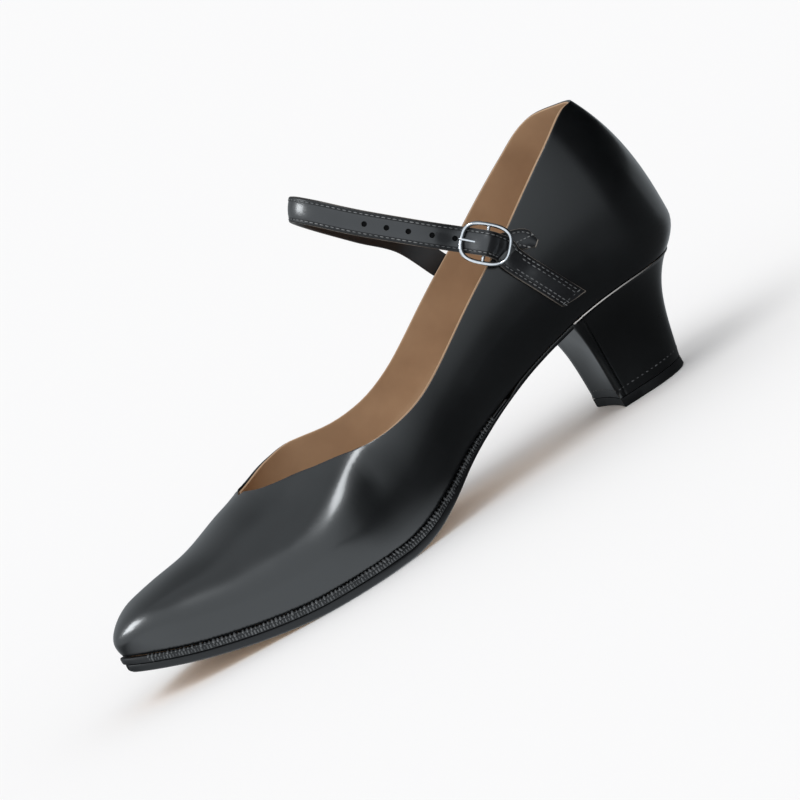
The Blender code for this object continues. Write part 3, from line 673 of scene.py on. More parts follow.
# Welt: a narrow strip sewn round the forefoot, blacked, with wheeled marks pressed into its upper
# face; it thins along the waist to a fine line.
WELT_LEDGE, SOLE_LEDGE = 0.0014, 0.0008
LET_IN_OVER = 0.006  # the sole makes room for the welt's ends over this length
BLACK_EDGE = leather(
    "black_edge", (0.003, 0.0033, 0.0038), (0.006, 0.0065, 0.0075), 0.45, 0.00004, 0.0, 1100, 0.3
)
WELT_PROFILE = [(0.0, 0.0), (0.0, 1.0), (0.40, 1.0), (0.80, 1.0), (0.93, 0.93), (1.0, 0.72)]
WELT_PROFILE += [(1.0, 0.22), (0.97, 0.0)]  # shares across and of the height


def sole_top(along):
    drop = smooth((along - WELT_FROM) * LENGTH / LET_IN_OVER + 1.0)
    return feather_height(along) - GAP - drop * (welt_thickness(along) + GAP)


def welt_path(count):
    places = stations(WELT_FROM + 0.004, 1.0, count)
    return [(1, along) for along in places] + [(-1, along) for along in places[-2::-1]]


def welt_spot(side, along, share, level):
    """A point of the welt: share across from its hidden inner edge (0) to its outer edge (1)."""
    across = from_waist(along, (0.0, WELT_LEDGE), 0.25) + UPPER_WALL
    spot = outline_point(side, along, share * across - UPPER_WALL)
    low = sole_top(share_at(spot)) + GAP
    return Vector((spot.x, spot.y, low + level * welt_thickness(share_at(spot))))


bm = bmesh.new()
path = welt_path(140)
skin(bm, [[welt_spot(*place, *corner) for corner in WELT_PROFILE] for place in path], capped=True)
hand_over(piece_from("welt_strip", bm, [BLACK_EDGE], 50), "edge_black", "welt")

# Marks on the welt: a hot wheel has pressed a row of slanting bars into its upper face and finer
# ones into its edge. The marks are grey, a painted highlight for the glints along the wheeled edge.
WHEEL_FROM, WHEEL_TO, WHEEL_UNEVEN = 0.40, 0.975, 0.38


def row_of_marks():
    """Small rounded pieces set along lines, such as stitches and pressed marks. The lines are
    chains of edges, whose points keep which way a mark runs and which way is up."""
    made = bpy.data.node_groups.new("row_of_marks", "GeometryNodeTree")
    made.interface.new_socket("Lines", in_out="INPUT", socket_type="NodeSocketGeometry")
    for name in ("Spacing", "Length", "Width", "Height", "Unevenness"):
        made.interface.new_socket(name, in_out="INPUT", socket_type="NodeSocketFloat")
    made.interface.new_socket("Finish", in_out="INPUT", socket_type="NodeSocketMaterial")
    made.interface.new_socket("Marks", in_out="OUTPUT", socket_type="NodeSocketGeometry")
    tree, links = made.nodes, made.links
    given, result = tree.new("NodeGroupInput"), tree.new("NodeGroupOutput")
    line, evened = tree.new("GeometryNodeMeshToCurve"), tree.new("GeometryNodeResampleCurve")
    evened.mode = "LENGTH"
    bead = filled(tree.new("GeometryNodeMeshUVSphere"), Radius=0.5, Segments=8, Rings=5)
    turned = None
    for axis, pivot, name in (("X", "AUTO", "along"), ("Z", "X", "up")):
        kept = tree.new("GeometryNodeInputNamedAttribute")
        kept.data_type = "FLOAT_VECTOR"
        filled(kept, Name=name)
        align = tree.new("FunctionNodeAlignRotationToVector")
        align.axis, align.pivot_axis = axis, pivot
        links.new(kept.outputs["Attribute"], align.inputs["Vector"])
        if turned:
            links.new(turned, align.inputs["Rotation"])
        turned = align.outputs["Rotation"]
    size = tree.new("ShaderNodeCombineXYZ")
    for axis, name in zip("XYZ", ("Length", "Width", "Height")):
        links.new(given.outputs[name], size.inputs[axis])
    least = combined(tree, links, "SUBTRACT", 1.0, given.outputs["Unevenness"])
    most = combined(tree, links, "ADD", 1.0, given.outputs["Unevenness"])
    vary = filled(tree.new("FunctionNodeRandomValue"), Seed=7)
    vary.data_type = "FLOAT"
    scaled = tree.new("ShaderNodeVectorMath")
    scaled.operation = "SCALE"
    place = tree.new("GeometryNodeInstanceOnPoints")
    real = tree.new("GeometryNodeRealizeInstances")
    shade, finish = tree.new("GeometryNodeSetShadeSmooth"), tree.new("GeometryNodeSetMaterial")
    links.new(least, vary.inputs[2])
    links.new(most, vary.inputs[3])
    links.new(turned, place.inputs["Rotation"])
    wired(
        links,
        (size, 0, scaled, 0),
        (vary, 1, scaled, "Scale"),
        (given, "Lines", line, "Mesh"),
        (line, "Curve", evened, "Curve"),
        (given, "Spacing", evened, "Length"),
        (evened, "Curve", place, "Points"),
        (bead, "Mesh", place, "Instance"),
        (scaled, 0, place, "Scale"),
        (place, "Instances", real, "Geometry"),
        (real, "Geometry", shade, "Geometry"),
        (shade, "Geometry", finish, "Geometry"),
        (given, "Finish", finish, "Material"),
        (finish, "Geometry", result, "Marks"),
    )
    return made


MARKS = row_of_marks()


def marked(name, slot, finish, lines, spacing, size, unevenness=0.0):
    """A piece made of marks on these lines. A line is a list of (place, along, up)."""
    mesh = bpy.data.meshes.new(name)
    points, edges = [], []
    for line in lines:
        edges += [(len(points) + i, len(points) + i + 1) for i in range(len(line) - 1)]
        points += line
    mesh.from_pydata([place for place, _, _ in points], edges, [])
    for title, which in (("along", 1), ("up", 2)):
        kept = mesh.attributes.new(title, "FLOAT_VECTOR", "POINT")
        kept.data.foreach_set("vector", [part for point in points for part in point[which]])
    piece = placed(name, mesh)
    change = piece.modifiers.new("marks", "NODES")
    change.node_group = MARKS
    inputs = (spacing, *size, unevenness, finish)
    sockets = [s for s in MARKS.interface.items_tree if s.in_out == "INPUT"][1:]
    for socket, value in zip(sockets, inputs):
        change[socket.identifier] = value
    settle(piece)
    hand_over(piece, slot)


# Grey marks that stand in for the glints along the wheeled edge: painted highlight.
WHEEL_MARK_GLINT_GREY = leather(
    "wheeled_edge_painted_glint", (0.022, 0.024, 0.026), (0.085, 0.089, 0.093), 0.40, 0.00006, 0.1, 2600
)
down = Vector((0, 0, -1))
for name, share, level, tip, pitch, size in (
    ("welt_wheeling", 0.90, 0.93, 0.75, 0.00150, (0.0019, 0.00085, 0.00050)),
    ("welt_knurling", 1.00, 0.40, 4.00, 0.00113, (0.0015, 0.00062, 0.00034)),
):
    lines = {1: [], -1: []}
    for side, along in welt_path(240):
        if WHEEL_FROM < along < WHEEL_TO:
            spot = welt_spot(side, along, share, level)
            inmost = welt_spot(side, along, 0.0, level)
            outward = (welt_spot(side, along, 1.0, level) - inmost).normalized()
            ways = (outward + down * tip).normalized(), (outward * tip - down).normalized()
            lines[side].append((spot, *ways))
    marked(name, "edge_black", WHEEL_MARK_GLINT_GREY, list(lines.values()), pitch, size, WHEEL_UNEVEN)

# Outsole: natural leather, thinned in the waist, its edge trimmed and blacked. The tread is scored
# into the forepart by a machine, in two slants that meet along the middle.
NATURAL_SOLE = leather(
    "natural_sole", (0.60, 0.41, 0.25), (0.70, 0.50, 0.32), 0.52, 0.00005, 0.08, 900
)
THINS_OVER = 0.12  # share of the length over which it thins
TREAD_PITCH, TREAD_FROM, TREAD_DEPTH = 0.0020, (0.079, 0.083), 0.00022
TREAD_MEETS, TREAD_SLANTS = (-0.0045, -0.0035), (97, 28)  # the outer half's slant, then the inner's
# The tread's grooves are darkened: painted shade in the scoring.
GROOVE_SHADE_TINT, GROOVE_SHADE_SHARE = (0.70, 0.62, 0.52, 1), 0.55
SOLE_EDGE = [(0.0, 0.0008), (0.12, 0.0003), (0.30, 0.0), (0.75, 0.0), (0.93, 0.0001), (1.0, 0.0003)]


def recoloured(tree, links, share, colour, how="MIX"):
    """Lays a colour over the leather's own, as far as the share says."""
    mixed = tree.new("ShaderNodeMix")
    mixed.data_type, mixed.blend_type = "RGBA", how
    mixed.inputs[7].default_value = colour
    links.new(share, mixed.inputs[0])
    links.new(tree["Color Ramp"].outputs["Color"], mixed.inputs[6])
    links.new(mixed.outputs[2], tree["Principled BSDF"].inputs["Base Color"])


tree, links = nodes_of(NATURAL_SOLE)
place, axes = axes_of(tree, links)
mixed = tree.new("ShaderNodeMix")
for degrees, into in zip(TREAD_SLANTS, (3, 2)):
    turned = filled(tree.new("ShaderNodeMapping"), Rotation=(0, 0, math.radians(degrees)))
    ribs = filled(tree.new("ShaderNodeTexWave"), Scale=math.tau / 20 / TREAD_PITCH, Distortion=0.25)
    links.new(place, turned.inputs["Vector"])
    wired(links, (turned, "Vector", ribs, "Vector"), (ribs, "Fac", mixed, into))
links.new(eased(tree, links, axes["Y"], TREAD_MEETS), mixed.inputs[0])
forepart = eased(tree, links, axes["X"], TREAD_FROM)
ribbed = combined(tree, links, "MULTIPLY", mixed.outputs[0], forepart)
tread = filled(tree.new("ShaderNodeBump"), Strength=1.0, Distance=TREAD_DEPTH)
links.new(ribbed, tread.inputs["Height"])
shader = tree["Principled BSDF"]
wired(links, (tree["Bump"], "Normal", tread, "Normal"), (tread, "Normal", shader, "Normal"))
# Darker, browner colour in the grooves: painted shade.
groove_shade = combined(tree, links, "SUBTRACT", forepart, ribbed)
groove_shade = combined(tree, links, "MULTIPLY", groove_shade, GROOVE_SHADE_SHARE)
recoloured(tree, links, groove_shade, GROOVE_SHADE_TINT, "MULTIPLY")


def sole_out(along):
    return from_waist(along, (0.0, SOLE_LEDGE), 0.30)


def sole_bottom(along):
    thickness = from_waist(along, (WAIST_THICK, SOLE_THICK))
    under_welt = feather_height(along) - 2 * GAP - welt_thickness(along) - thickness
    before_welt = feather_height(along) - GAP - WAIST_THICK
    return before_welt + (under_welt - before_welt) * smooth((along - WELT_FROM) / THINS_OVER + 0.5)


places = stations((BREAST_TOP + GAP) / LENGTH, 1 - EDGE_TIP, 130)
sole = slab(places, sole_out, sole_bottom, sole_top, SOLE_EDGE, 30, dark_edge=1)
sole = piece_from("outsole_leather", sole, [NATURAL_SOLE, BLACK_EDGE], 60)
hand_over(sole, "sole_leather", "outsole")

# Heel: a block wrapped in the upper's leather, which is folded in along the breast, where a flap
# covers it. Under the seat, towards the breast, the cover's top edge has a painted highlight.
HEEL_FOOT_BACK, BREAST_FOOT, HEEL_FOOT_WIDTH, HEEL_FOOT_ROUND = 0.0218, 0.0530, 0.0289, 0.62
TOP_PIECE_THICK = 0.0034
BREAST_HOLLOW = 0.0012
BACK_SPREAD, BREAST_SPREAD = 0.52, 0.08
SIDE_STEPS, HEEL_RINGS, LIP_FROM, FOLD_FADE = 26, 42, 0.95, 0.05
# across the heel's side: share of the way from back to breast, and how far the cover stands out
FOLD = [(0.900, 0.0), (0.914, -0.00010), (0.922, -0.00045), (0.928, 0.00005), (0.938, 0.00030)]
FOLD += [(0.952, 0.00032), (0.966, 0.00012), (0.978, -0.00022), (0.990, -0.00075)]
CORNER = -0.00130
# up the heel: share of its height, and how far the cover stands out
LIP = [(0.955, 0.0), (0.974, 0.00004), (0.978, 0.00030), (0.986, 0.00048), (0.994, 0.00046)]
LIP += [(1.0, 0.00025)]
# The pale line along the cover's top edge is a painted highlight: its depth, where it fades in
# along the heel, and its colour.
COVER_EDGE_DEPTH, PAINTED_HIGHLIGHT_RAMP, PAINTED_HIGHLIGHT_COLOUR = 0.0006, (-0.022, 0.018), (0.62, 0.61, 0.60, 1)


def heel_outline(share, proud=0.0, breast_steps=16):
    """The heel in plan at this share of its height, from its outer breast corner round the back
    to the inner corner and across the breast."""
    ring = []
    run = [(i / SIDE_STEPS, 0.0) for i in range(SIDE_STEPS - 2)] + FOLD + [(1.0, CORNER)]
    for side in (1, -1):
        for q, fold in run[::-1] if side > 0 else run[1:]:
            place = q * q * (2 - q)
            top = outline_point(side, place * BREAST_TOP / LENGTH, proud - GAP)
            foot_x = HEEL_FOOT_BACK - ORIGIN_FROM_BACK + place * (BREAST_FOOT - HEEL_FOOT_BACK)
            wide = HEEL_FOOT_WIDTH / 2 * end_round(place, HEEL_FOOT_ROUND)
            foot = Vector((foot_x, side * wide, 0))
            even = BACK_SPREAD + (BREAST_SPREAD - BACK_SPREAD) * place
            spot = foot.lerp(top, even * share + (1 - even) * share**4)
            ring.append(spot + Vector((0, side * fold * smooth(share / FOLD_FADE), 0)))
    first, last = ring[0], ring[-1]
    for i in range(1, breast_steps):
        way = i / breast_steps
        hollow = BREAST_HOLLOW * (1 - (2 * way - 1) ** 2) * (1 - smooth(share * 1.4 - 0.4))
        ring.append(last.lerp(first, way) - Vector((hollow, 0, 0)))
    return ring


def heel_ring(share, proud=0.0):
    foot = TOP_PIECE_THICK + GAP
    ring = []
    for spot in heel_outline(share, proud):
        seat = feather_height(share_at(spot)) - GAP
        ring.append(Vector((spot.x, spot.y, foot + share * (seat - foot))))
    return ring


HEEL_CALF = leather(
    "heel_calf", (0.0009, 0.0010, 0.0013), (0.0016, 0.0018, 0.0022), 0.30, 0.00001, 0.15, shine=0.42
)
COVER_EDGE_PAINTED_LIGHT = leather(
    "cover_edge_painted_highlight", (0.001, 0.001, 0.0012), (0.0016, 0.0018, 0.002), 0.35, shine=0.4
)
# Towards the breast the cover's top edge turns pale: a painted highlight.
tree, links = nodes_of(COVER_EDGE_PAINTED_LIGHT)
_, axes = axes_of(tree, links)
recoloured(tree, links, eased(tree, links, axes["X"], PAINTED_HIGHLIGHT_RAMP), PAINTED_HIGHLIGHT_COLOUR)
bm = bmesh.new()
rings = [heel_ring(LIP_FROM * i / HEEL_RINGS) for i in range(HEEL_RINGS)]
skin(bm, rings + [heel_ring(*step) for step in LIP], capped=True)
heel = piece_from("heel_cover", bm, [HEEL_CALF, COVER_EDGE_PAINTED_LIGHT], 60)
# The faces just under the seat take the cover edge's painted highlight.
for face in heel.data.polygons:
    middle = face.center
    under = feather_height(share_at(middle)) - GAP - middle.z
    if under < COVER_EDGE_DEPTH and middle.x < BREAST_TOP - ORIGIN_FROM_BACK - 0.0004:
        face.material_index = 1
hand_over(heel, "heel_leather", "heel")

# Pricking of the heel: a row of short marks pressed into the cover a little above its foot, right
# round, as the photo shows on its side.
PRICK_SHARE, PRICK_PITCH, PRICK = 0.085, 0.0021, (0.0011, 0.00042, 0.00030)
low, ring, high = (heel_ring(PRICK_SHARE + step) for step in (-0.01, 0.0, 0.01))
line = []
for i, spot in enumerate(ring):
    ahead = (ring[(i + 1) % len(ring)] - ring[i - 1]).normalized()
    outward = ahead.cross(high[i] - low[i]).normalized()
    if outward.dot(spot - Vector((0.0, 0.0, spot.z))) < 0:
        outward.negate()
    line.append((spot, ahead, outward))
PRICKED = leather("pricked_edge", (0.025, 0.026, 0.028), (0.070, 0.072, 0.076), 0.40, 0.00003, 0.1)
marked("heel_pricking", "heel_leather", PRICKED, [line + line[:1]], PRICK_PITCH, PRICK, 0.25)

# Top piece: the walking surface, a lift of tan leather glued and nailed under the heel. Its edge
# is blacked and its underside left natural.
TOP_PIECE_TAN = leather(
    "top_piece_tan", (0.50, 0.33, 0.20), (0.60, 0.42, 0.27), 0.6, 0.00006, 0.0, 700
)
bm = bmesh.new()
rings = []
for level, inset in ((0.0, 0.0005), (0.0005, 0.0), (TOP_PIECE_THICK, 0.0)):
    outline = heel_outline(0.0)
    rings.append([spot - spot.normalized() * inset + Vector((0, 0, level)) for spot in outline])
skin(bm, rings, capped=True)
top_piece = piece_from("top_piece_lift", bm, [TOP_PIECE_TAN, BLACK_EDGE], 40)
for face in top_piece.data.polygons:
    if face.center.z > 0.0002:
        face.material_index = 1
hand_over(top_piece, "top_piece_leather", "top_piece")

# Nails of the top piece: three flat steel heads, driven nearly flush with its underside and dulled
# by the floor.
NAILS, NAIL_RADIUS = [(-0.0095, 0.001), (0.0045, 0.0075), (0.0075, -0.0070)], 0.0010
NAIL_FLATNESS, NAIL_RISE = 0.10, 0.00007
NAIL_STEEL = bpy.data.materials.new("nail_steel")
tree, links = nodes_of(NAIL_STEEL)
shader = filled(tree["Principled BSDF"], Metallic=0.8, Roughness=0.45)
spots = filled(tree.new("ShaderNodeTexNoise"), Scale=2500)
rust = ramp(tree, (0.0, (0.030, 0.024, 0.020)), (1.0, (0.130, 0.110, 0.090)))
wired(
    links,
    (tree.new("ShaderNodeTexCoord"), "Object", spots, "Vector"),
    (spots, "Fac", rust, "Fac"),
    (rust, "Color", shader, "Base Color"),
)
bm = bmesh.new()
for x, y in NAILS:
    head = bmesh.ops.create_uvsphere(bm, u_segments=16, v_segments=8, radius=NAIL_RADIUS)
    bmesh.ops.scale(bm, vec=(1, 1, NAIL_FLATNESS), verts=head["verts"])
    bmesh.ops.translate(bm, vec=(x, y, NAIL_RISE), verts=head["verts"])
nails = piece_from("top_piece_nails", bm, [NAIL_STEEL])
hand_over(nails, "top_piece_leather")

# Ankle strap: two layers sewn edge to edge, from its root on the inner quarter in one arch over the
# opening, through the buckle, to a slanted tail on the outer quarter. Its cut edges are left raw.
STRAP_WIDTH, STRAP_THICK, TAIL_SLANT, STRAP_COUNT = 0.0090, 0.0016, 0.0025, 300
BUCKLE_LENGTH, BUCKLE_WIDTH = 0.0186, 0.0149
BUCKLE_WIRE, BAR_WIRE, PRONG_WIRE, RUNNING_GAP = 0.0015, 0.0012, 0.0010, 0.00015
BUCKLE_FRONT = (0.3230, 0.3765, 0.9574)
BUCKLE_BACK, BUCKLE_OFF, BUCKLE_TURN = (0.2586, 1.825), 0.0048, 12.0
STRAP_ROOT = [(0.268, 1.55), (0.280, 1.72), (0.294, 1.92)]
STRAP_TAIL = [(0.2595, 1.459), (0.2499, 1.250), (0.2401, 1.058), (0.2298, 0.793), (0.2177, 0.480)]
Arch = namedtuple("Arch", "x y z turn")
LOOP_LINE = Vector((-0.50, 0.06, 0.86)).normalized()  # the loop's faces are square to this
STRAP_ARCH = [
    Arch(0.3271, -0.363, 1.011, 2.94),
    Arch(0.3776, -0.315, 1.145, 2.79),
    Arch(0.4318, -0.214, 1.289, 2.40),
    Arch(0.4652, -0.086, 1.374, 1.89),
    Arch(0.4735, 0.020, 1.393, 1.49),
    Arch(0.4596, 0.133, 1.347, 1.03),
    Arch(0.4218, 0.230, 1.235, 0.68),
    Arch(0.3732, 0.306, 1.109, 0.40),
    Arch(0.3459, 0.337, 1.041, 0.27),
]


def smooth_route(points, count):
    """A Catmull-Rom curve through the points, as count + 1 places."""
    made = []
    last = len(points) - 1
    for i in range(count + 1):
        place = i / count * last
        k = min(last - 1, int(place))
        p, q = points[k], points[k + 1]
        start = (q - points[max(0, k - 1)]) / 2
        end = (points[min(last, k + 2)] - p) / 2
        made.append(hermite(p, q, start, end, place - k))
    return made


BuckleAxes = namedtuple("BuckleAxes", "middle along across out")
x, y, z = BUCKLE_FRONT
front = Vector((x * LENGTH - ORIGIN_FROM_BACK, y * BALL_WIDTH, z * LAST_DEPTH))
rear = on_quarter(1, *BUCKLE_BACK, BUCKLE_OFF)
backward = (rear - front).normalized()
down = backward.cross(Vector((0, 1, 0))).normalized()
if down.z > 0:
    down.negate()
turn = math.radians(BUCKLE_TURN)
along = backward * math.cos(turn) + down * math.sin(turn)
across = down * math.cos(turn) - backward * math.sin(turn)
out = along.cross(across)
BUCKLE = BuckleAxes((front + rear) / 2, along, across, out if out.y > 0 else -out)


def on_buckle(along, across, out):
    return BUCKLE.middle + BUCKLE.along * along + BUCKLE.across * across + BUCKLE.out * out


def strap_route():
    lift = GAP + STRAP_THICK / 2
    places, faces = [], []

    def rest_on(side, along, row):
        places.append(on_quarter(side, along, row, lift))
        faces.append(last_normal(side, along, row))

    for along, row in STRAP_ROOT:
        rest_on(-1, along, row)
    for row in STRAP_ARCH:
        spot = (row.x * LENGTH - ORIGIN_FROM_BACK, row.y * BALL_WIDTH, row.z * LAST_DEPTH)
        places.append(Vector(spot))
        face = Vector((math.sin(row.turn), math.cos(row.turn), 0))
        faces.append((face - LOOP_LINE * face.dot(LOOP_LINE)).normalized())
    under = (BUCKLE_WIRE + STRAP_THICK) / 2 + 2 * RUNNING_GAP
    over = BAR_WIRE / 2 + PRONG_WIRE + STRAP_THICK / 2 + 3 * RUNNING_GAP
    reach = BUCKLE_LENGTH / 2
    passes = [(-0.9, 0.0, -under), (0.0, -0.01, over), (0.44, 0.02, 0.0)]
    passes += [(0.76, 0.10, -under), (0.98, 0.31, -under)]
    for along, across, out in passes:
        places.append(on_buckle(along * reach, across * reach, out))
        faces.append(BUCKLE.out)
    for along, row in STRAP_TAIL:
        rest_on(1, along, row)
    return places, faces


def band_frames(centres, outwards):
    """Middle, run, across and face at each place of a flat band."""
    frames = []
    last = len(centres) - 1
    for i, centre in enumerate(centres):
        run = (centres[min(last, i + 1)] - centres[max(0, i - 1)]).normalized()
        face = (outwards[i] - run * outwards[i].dot(run)).normalized()
        frames.append((centre, run, run.cross(face), face))
    return frames


BAND_PROFILE = [(-1, -0.30), (-0.93, -0.5), (-0.5, -0.5), (0, -0.5), (0.5, -0.5), (0.93, -0.5)]
BAND_PROFILE += [(1, -0.30), (1, 0.12), (0.96, 0.33), (0.86, 0.45), (0.74, 0.37), (0.62, 0.49)]
BAND_PROFILE += [(0.3, 0.61), (0, 0.65), (-0.3, 0.61), (-0.62, 0.49), (-0.74, 0.37)]
BAND_PROFILE += [(-0.86, 0.45), (-0.96, 0.33), (-1, 0.12)]
CUT_EDGES = {6, 7, 8}, {18, 19, 0}  # which of its corners bound them
# The margins are inked and kept darker than the face, which is also painted shade at the band's
# edges.
INKED_SHADED_MARGINS = {8, 9, 10, 11}, {15, 16, 17, 18}


def band(frames, width, thick, slant=0.0, slant_rows=18, tip=None):
    """A flat band with softly rounded edges. Its last end is cut aslant or narrows to a tip."""
    bm = bmesh.new()
    rings = []
    last = len(frames) - 1
    for i, (centre, run, across, face) in enumerate(frames):
        skew = -slant * max(0.0, 1 - (last - i) / slant_rows)
        half = width / 2 * (tip(i / last) if tip else 1)
        ring = []
        for a, b in BAND_PROFILE:
            ring.append(centre + across * (a * half) + face * (b * thick) + run * (skew * a))
        rings.append(ring)
    skin(bm, rings, capped=True)
    return bm


centres, outwards = (smooth_route(points, STRAP_COUNT) for points in strap_route())
STRAP_FRAMES = band_frames(centres, outwards)
STRAP_CALF = leather("strap_calf", (0.0045, 0.0050, 0.0062), (0.0090, 0.0098, 0.0120), 0.34)
RAW_EDGE = leather(
    "raw_edge", (0.050, 0.044, 0.040), (0.200, 0.175, 0.150), 0.50, 0.00004, 0.0, 2200
)
# Near black for the sheet left in each hole: painted shade where the hole would show what lies
# behind.
HOLE_PAINTED_SHADE = leather(
    "hole_painted_shade", (0.0006, 0.0006, 0.0008), (0.0012, 0.0012, 0.0014), 0.6, coat=0.0, shine=0.1
)
STRAP_FINISHES = [STRAP_CALF, RAW_EDGE, BLACK_EDGE, HOLE_PAINTED_SHADE]
strap = band(STRAP_FRAMES, STRAP_WIDTH, STRAP_THICK, TAIL_SLANT, 25)
strap = piece_from("strap_band", strap, STRAP_FINISHES)


def bare_the_edges(mesh, rows):
    """A band's cut edges and free end in the second material; its margins, inked and darkened as
    painted shade, in the third.
    """
    rings = len(BAND_PROFILE)
    for face in mesh.polygons:
        sideways = {corner % rings for corner in face.vertices}
        at_end = min(face.vertices) >= (rows - 1) * rings
        if at_end or any(sideways <= corners for corners in CUT_EDGES):
            face.material_index = 1
        elif any(sideways <= corners for corners in INKED_SHADED_MARGINS):
            face.material_index = 2


bare_the_edges(strap.data, STRAP_COUNT)

HOLE_PITCH, HOLE_FROM_RIM, HOLES, HOLE_RADIUS = 0.0081, 0.0016, 5, 0.00100
# The holes are not cut through: a near-black sheet is left in the middle of each as painted shade.
HOLE_SHADE_SHEET = 0.0001  # what is left uncut in the middle, so that a hole reads dark from both faces
rim_at = min(
    range(len(STRAP_FRAMES)),
    key=lambda i: (STRAP_FRAMES[i][0] - on_buckle(-BUCKLE_LENGTH / 2, 0, 0)).length,
)
run_to, punched = 0.0, []
for i in range(rim_at, 0, -1):
    run_to += (STRAP_FRAMES[i][0] - STRAP_FRAMES[i - 1][0]).length
    if len(punched) < HOLES and run_to >= HOLE_FROM_RIM + len(punched) * HOLE_PITCH:
        punched.append(STRAP_FRAMES[i])
bm = bmesh.new()
for centre, _, _, face in punched:
    for side in (-1, 1):
        turn_up = face.to_track_quat("Z", "Y").to_matrix().to_4x4()
        turn_up.translation = centre + face * (side * (STRAP_THICK + HOLE_SHADE_SHEET / 2))
        bmesh.ops.create_cone(
            bm, cap_ends=True, segments=20, radius1=HOLE_RADIUS, radius2=HOLE_RADIUS,
            depth=2 * STRAP_THICK, matrix=turn_up,
        )
punch = piece_from("punch", bm, STRAP_FINISHES)
punch.data.shade_flat()
for face in punch.data.polygons:
    # The cutters' caps become the sheets in the holes, in the painted shade; their sides become raw
    # edges.
    face.material_index = 3 if len(face.vertices) > 4 else 1
cut = strap.modifiers.new("holes", "BOOLEAN")
cut.operation, cut.object = "DIFFERENCE", punch
settle(strap, 40)
bpy.data.objects.remove(punch)
hand_over(strap, "strap_leather", "ankle_strap")

# Stitches of the strap: waxed thread, worn pale, in a row along each edge, doubled near the tail,
# and across at the root and the tail.
STITCH_PITCH, STITCH = 0.00195, (0.00150, 0.00040, 0.00030)
THREAD = leather(
    "worn_thread", (0.070, 0.075, 0.080), (0.200, 0.205, 0.210), 0.45, 0.00003, 0.0, 3200
)


def sewn(frames, width, thick, share, rise=0.47):
    """A line of stitches along a band, this share of its half width from its middle."""
    return [
        (centre + across * (share * width / 2) + face * (rise * thick), run, face)
        for centre, run, across, face in frames
    ]


def sewn_across(frame_at, width, thick, reach, lean=0.0, rise=0.55):
    """Stitches straight across a band at one frame, leaning along it by `lean`."""
    centre, run, across, face = frame_at
    line = []
    for i in range(5):
        share = reach * 2 * i / 4 - reach
        place = centre + across * (share * width / 2) + face * (rise * thick)
        way = (across * width / 2 - run * lean).normalized()
        line.append((place - run * (lean * share), way, face))
    return line


TAIL_ROW, DOUBLED_FROM, ROOT_ROWS = 6, 62, (3, 16)  # frames, counted from the nearer end
OUTER_SHARE, INNER_SHARE, ACROSS_SHARE = 0.74, 0.46, 0.7  # of the strap's half width
flat = STRAP_WIDTH, STRAP_THICK
lines = [sewn(STRAP_FRAMES[2:-TAIL_ROW], *flat, side * OUTER_SHARE) for side in (-1, 1)]
lines.append(sewn_across(STRAP_FRAMES[-TAIL_ROW], *flat, ACROSS_SHARE, TAIL_SLANT * 0.75))
for side in (-1, 1):
    lines.append(sewn(STRAP_FRAMES[-DOUBLED_FROM:-TAIL_ROW], *flat, side * INNER_SHARE, 0.58))
for row in ROOT_ROWS:
    lines.append(sewn_across(STRAP_FRAMES[row], *flat, ACROSS_SHARE))
marked("strap_stitches", "strap_leather", THREAD, lines, STITCH_PITCH, STITCH, 0.12)

# Buckle tab: a thin strip of the strap's leather, folded round the buckle's bar and sewn down to
# the outer quarter, where it ends in a point.
TAB_WIDTH, TAB_THICK, TAB_COUNT = 0.0072, 0.0008, 90
TAB_POINT, TAB_NARROWS = 0.1, 0.6  # the share of its length that narrows, and by how much
TAB_DROP = [(0.20, 0.0, -0.054), (0.39, -0.03, -0.31), (0.62, -0.13, -0.38)]
TAB_END = [(0.2428, 1.745), (0.2331, 1.621), (0.2253, 1.507)]
ring = (BAR_WIRE + TAB_THICK) / 2 + RUNNING_GAP
centres, faces = [], []
for degrees in range(-60, -331, -30):
    angle = math.radians(degrees)
    outward = BUCKLE.along * math.cos(angle) + BUCKLE.out * math.sin(angle)
    centres.append(BUCKLE.middle + outward * ring)
    faces.append(outward)
for share in TAB_DROP:
    centres.append(on_buckle(*(BUCKLE_LENGTH / 2 * part for part in share)))
    faces.append(BUCKLE.out)
for along, row in TAB_END:
    centres.append(on_quarter(1, along, row, GAP + TAB_THICK / 2))
    faces.append(last_normal(1, along, row))
centres, faces = smooth_route(centres, TAB_COUNT), smooth_route(faces, TAB_COUNT)
TAB_FRAMES = band_frames(centres, faces)


def tab_tip(share):
    return 1 - TAB_NARROWS * smooth((share - 1 + TAB_POINT) / TAB_POINT)


tab = band(TAB_FRAMES, TAB_WIDTH, TAB_THICK, tip=tab_tip)
tab = piece_from("tab_strip", tab, [STRAP_CALF, RAW_EDGE, BLACK_EDGE], 50)
bare_the_edges(tab.data, TAB_COUNT)
hand_over(tab, "strap_leather", "buckle_tab")

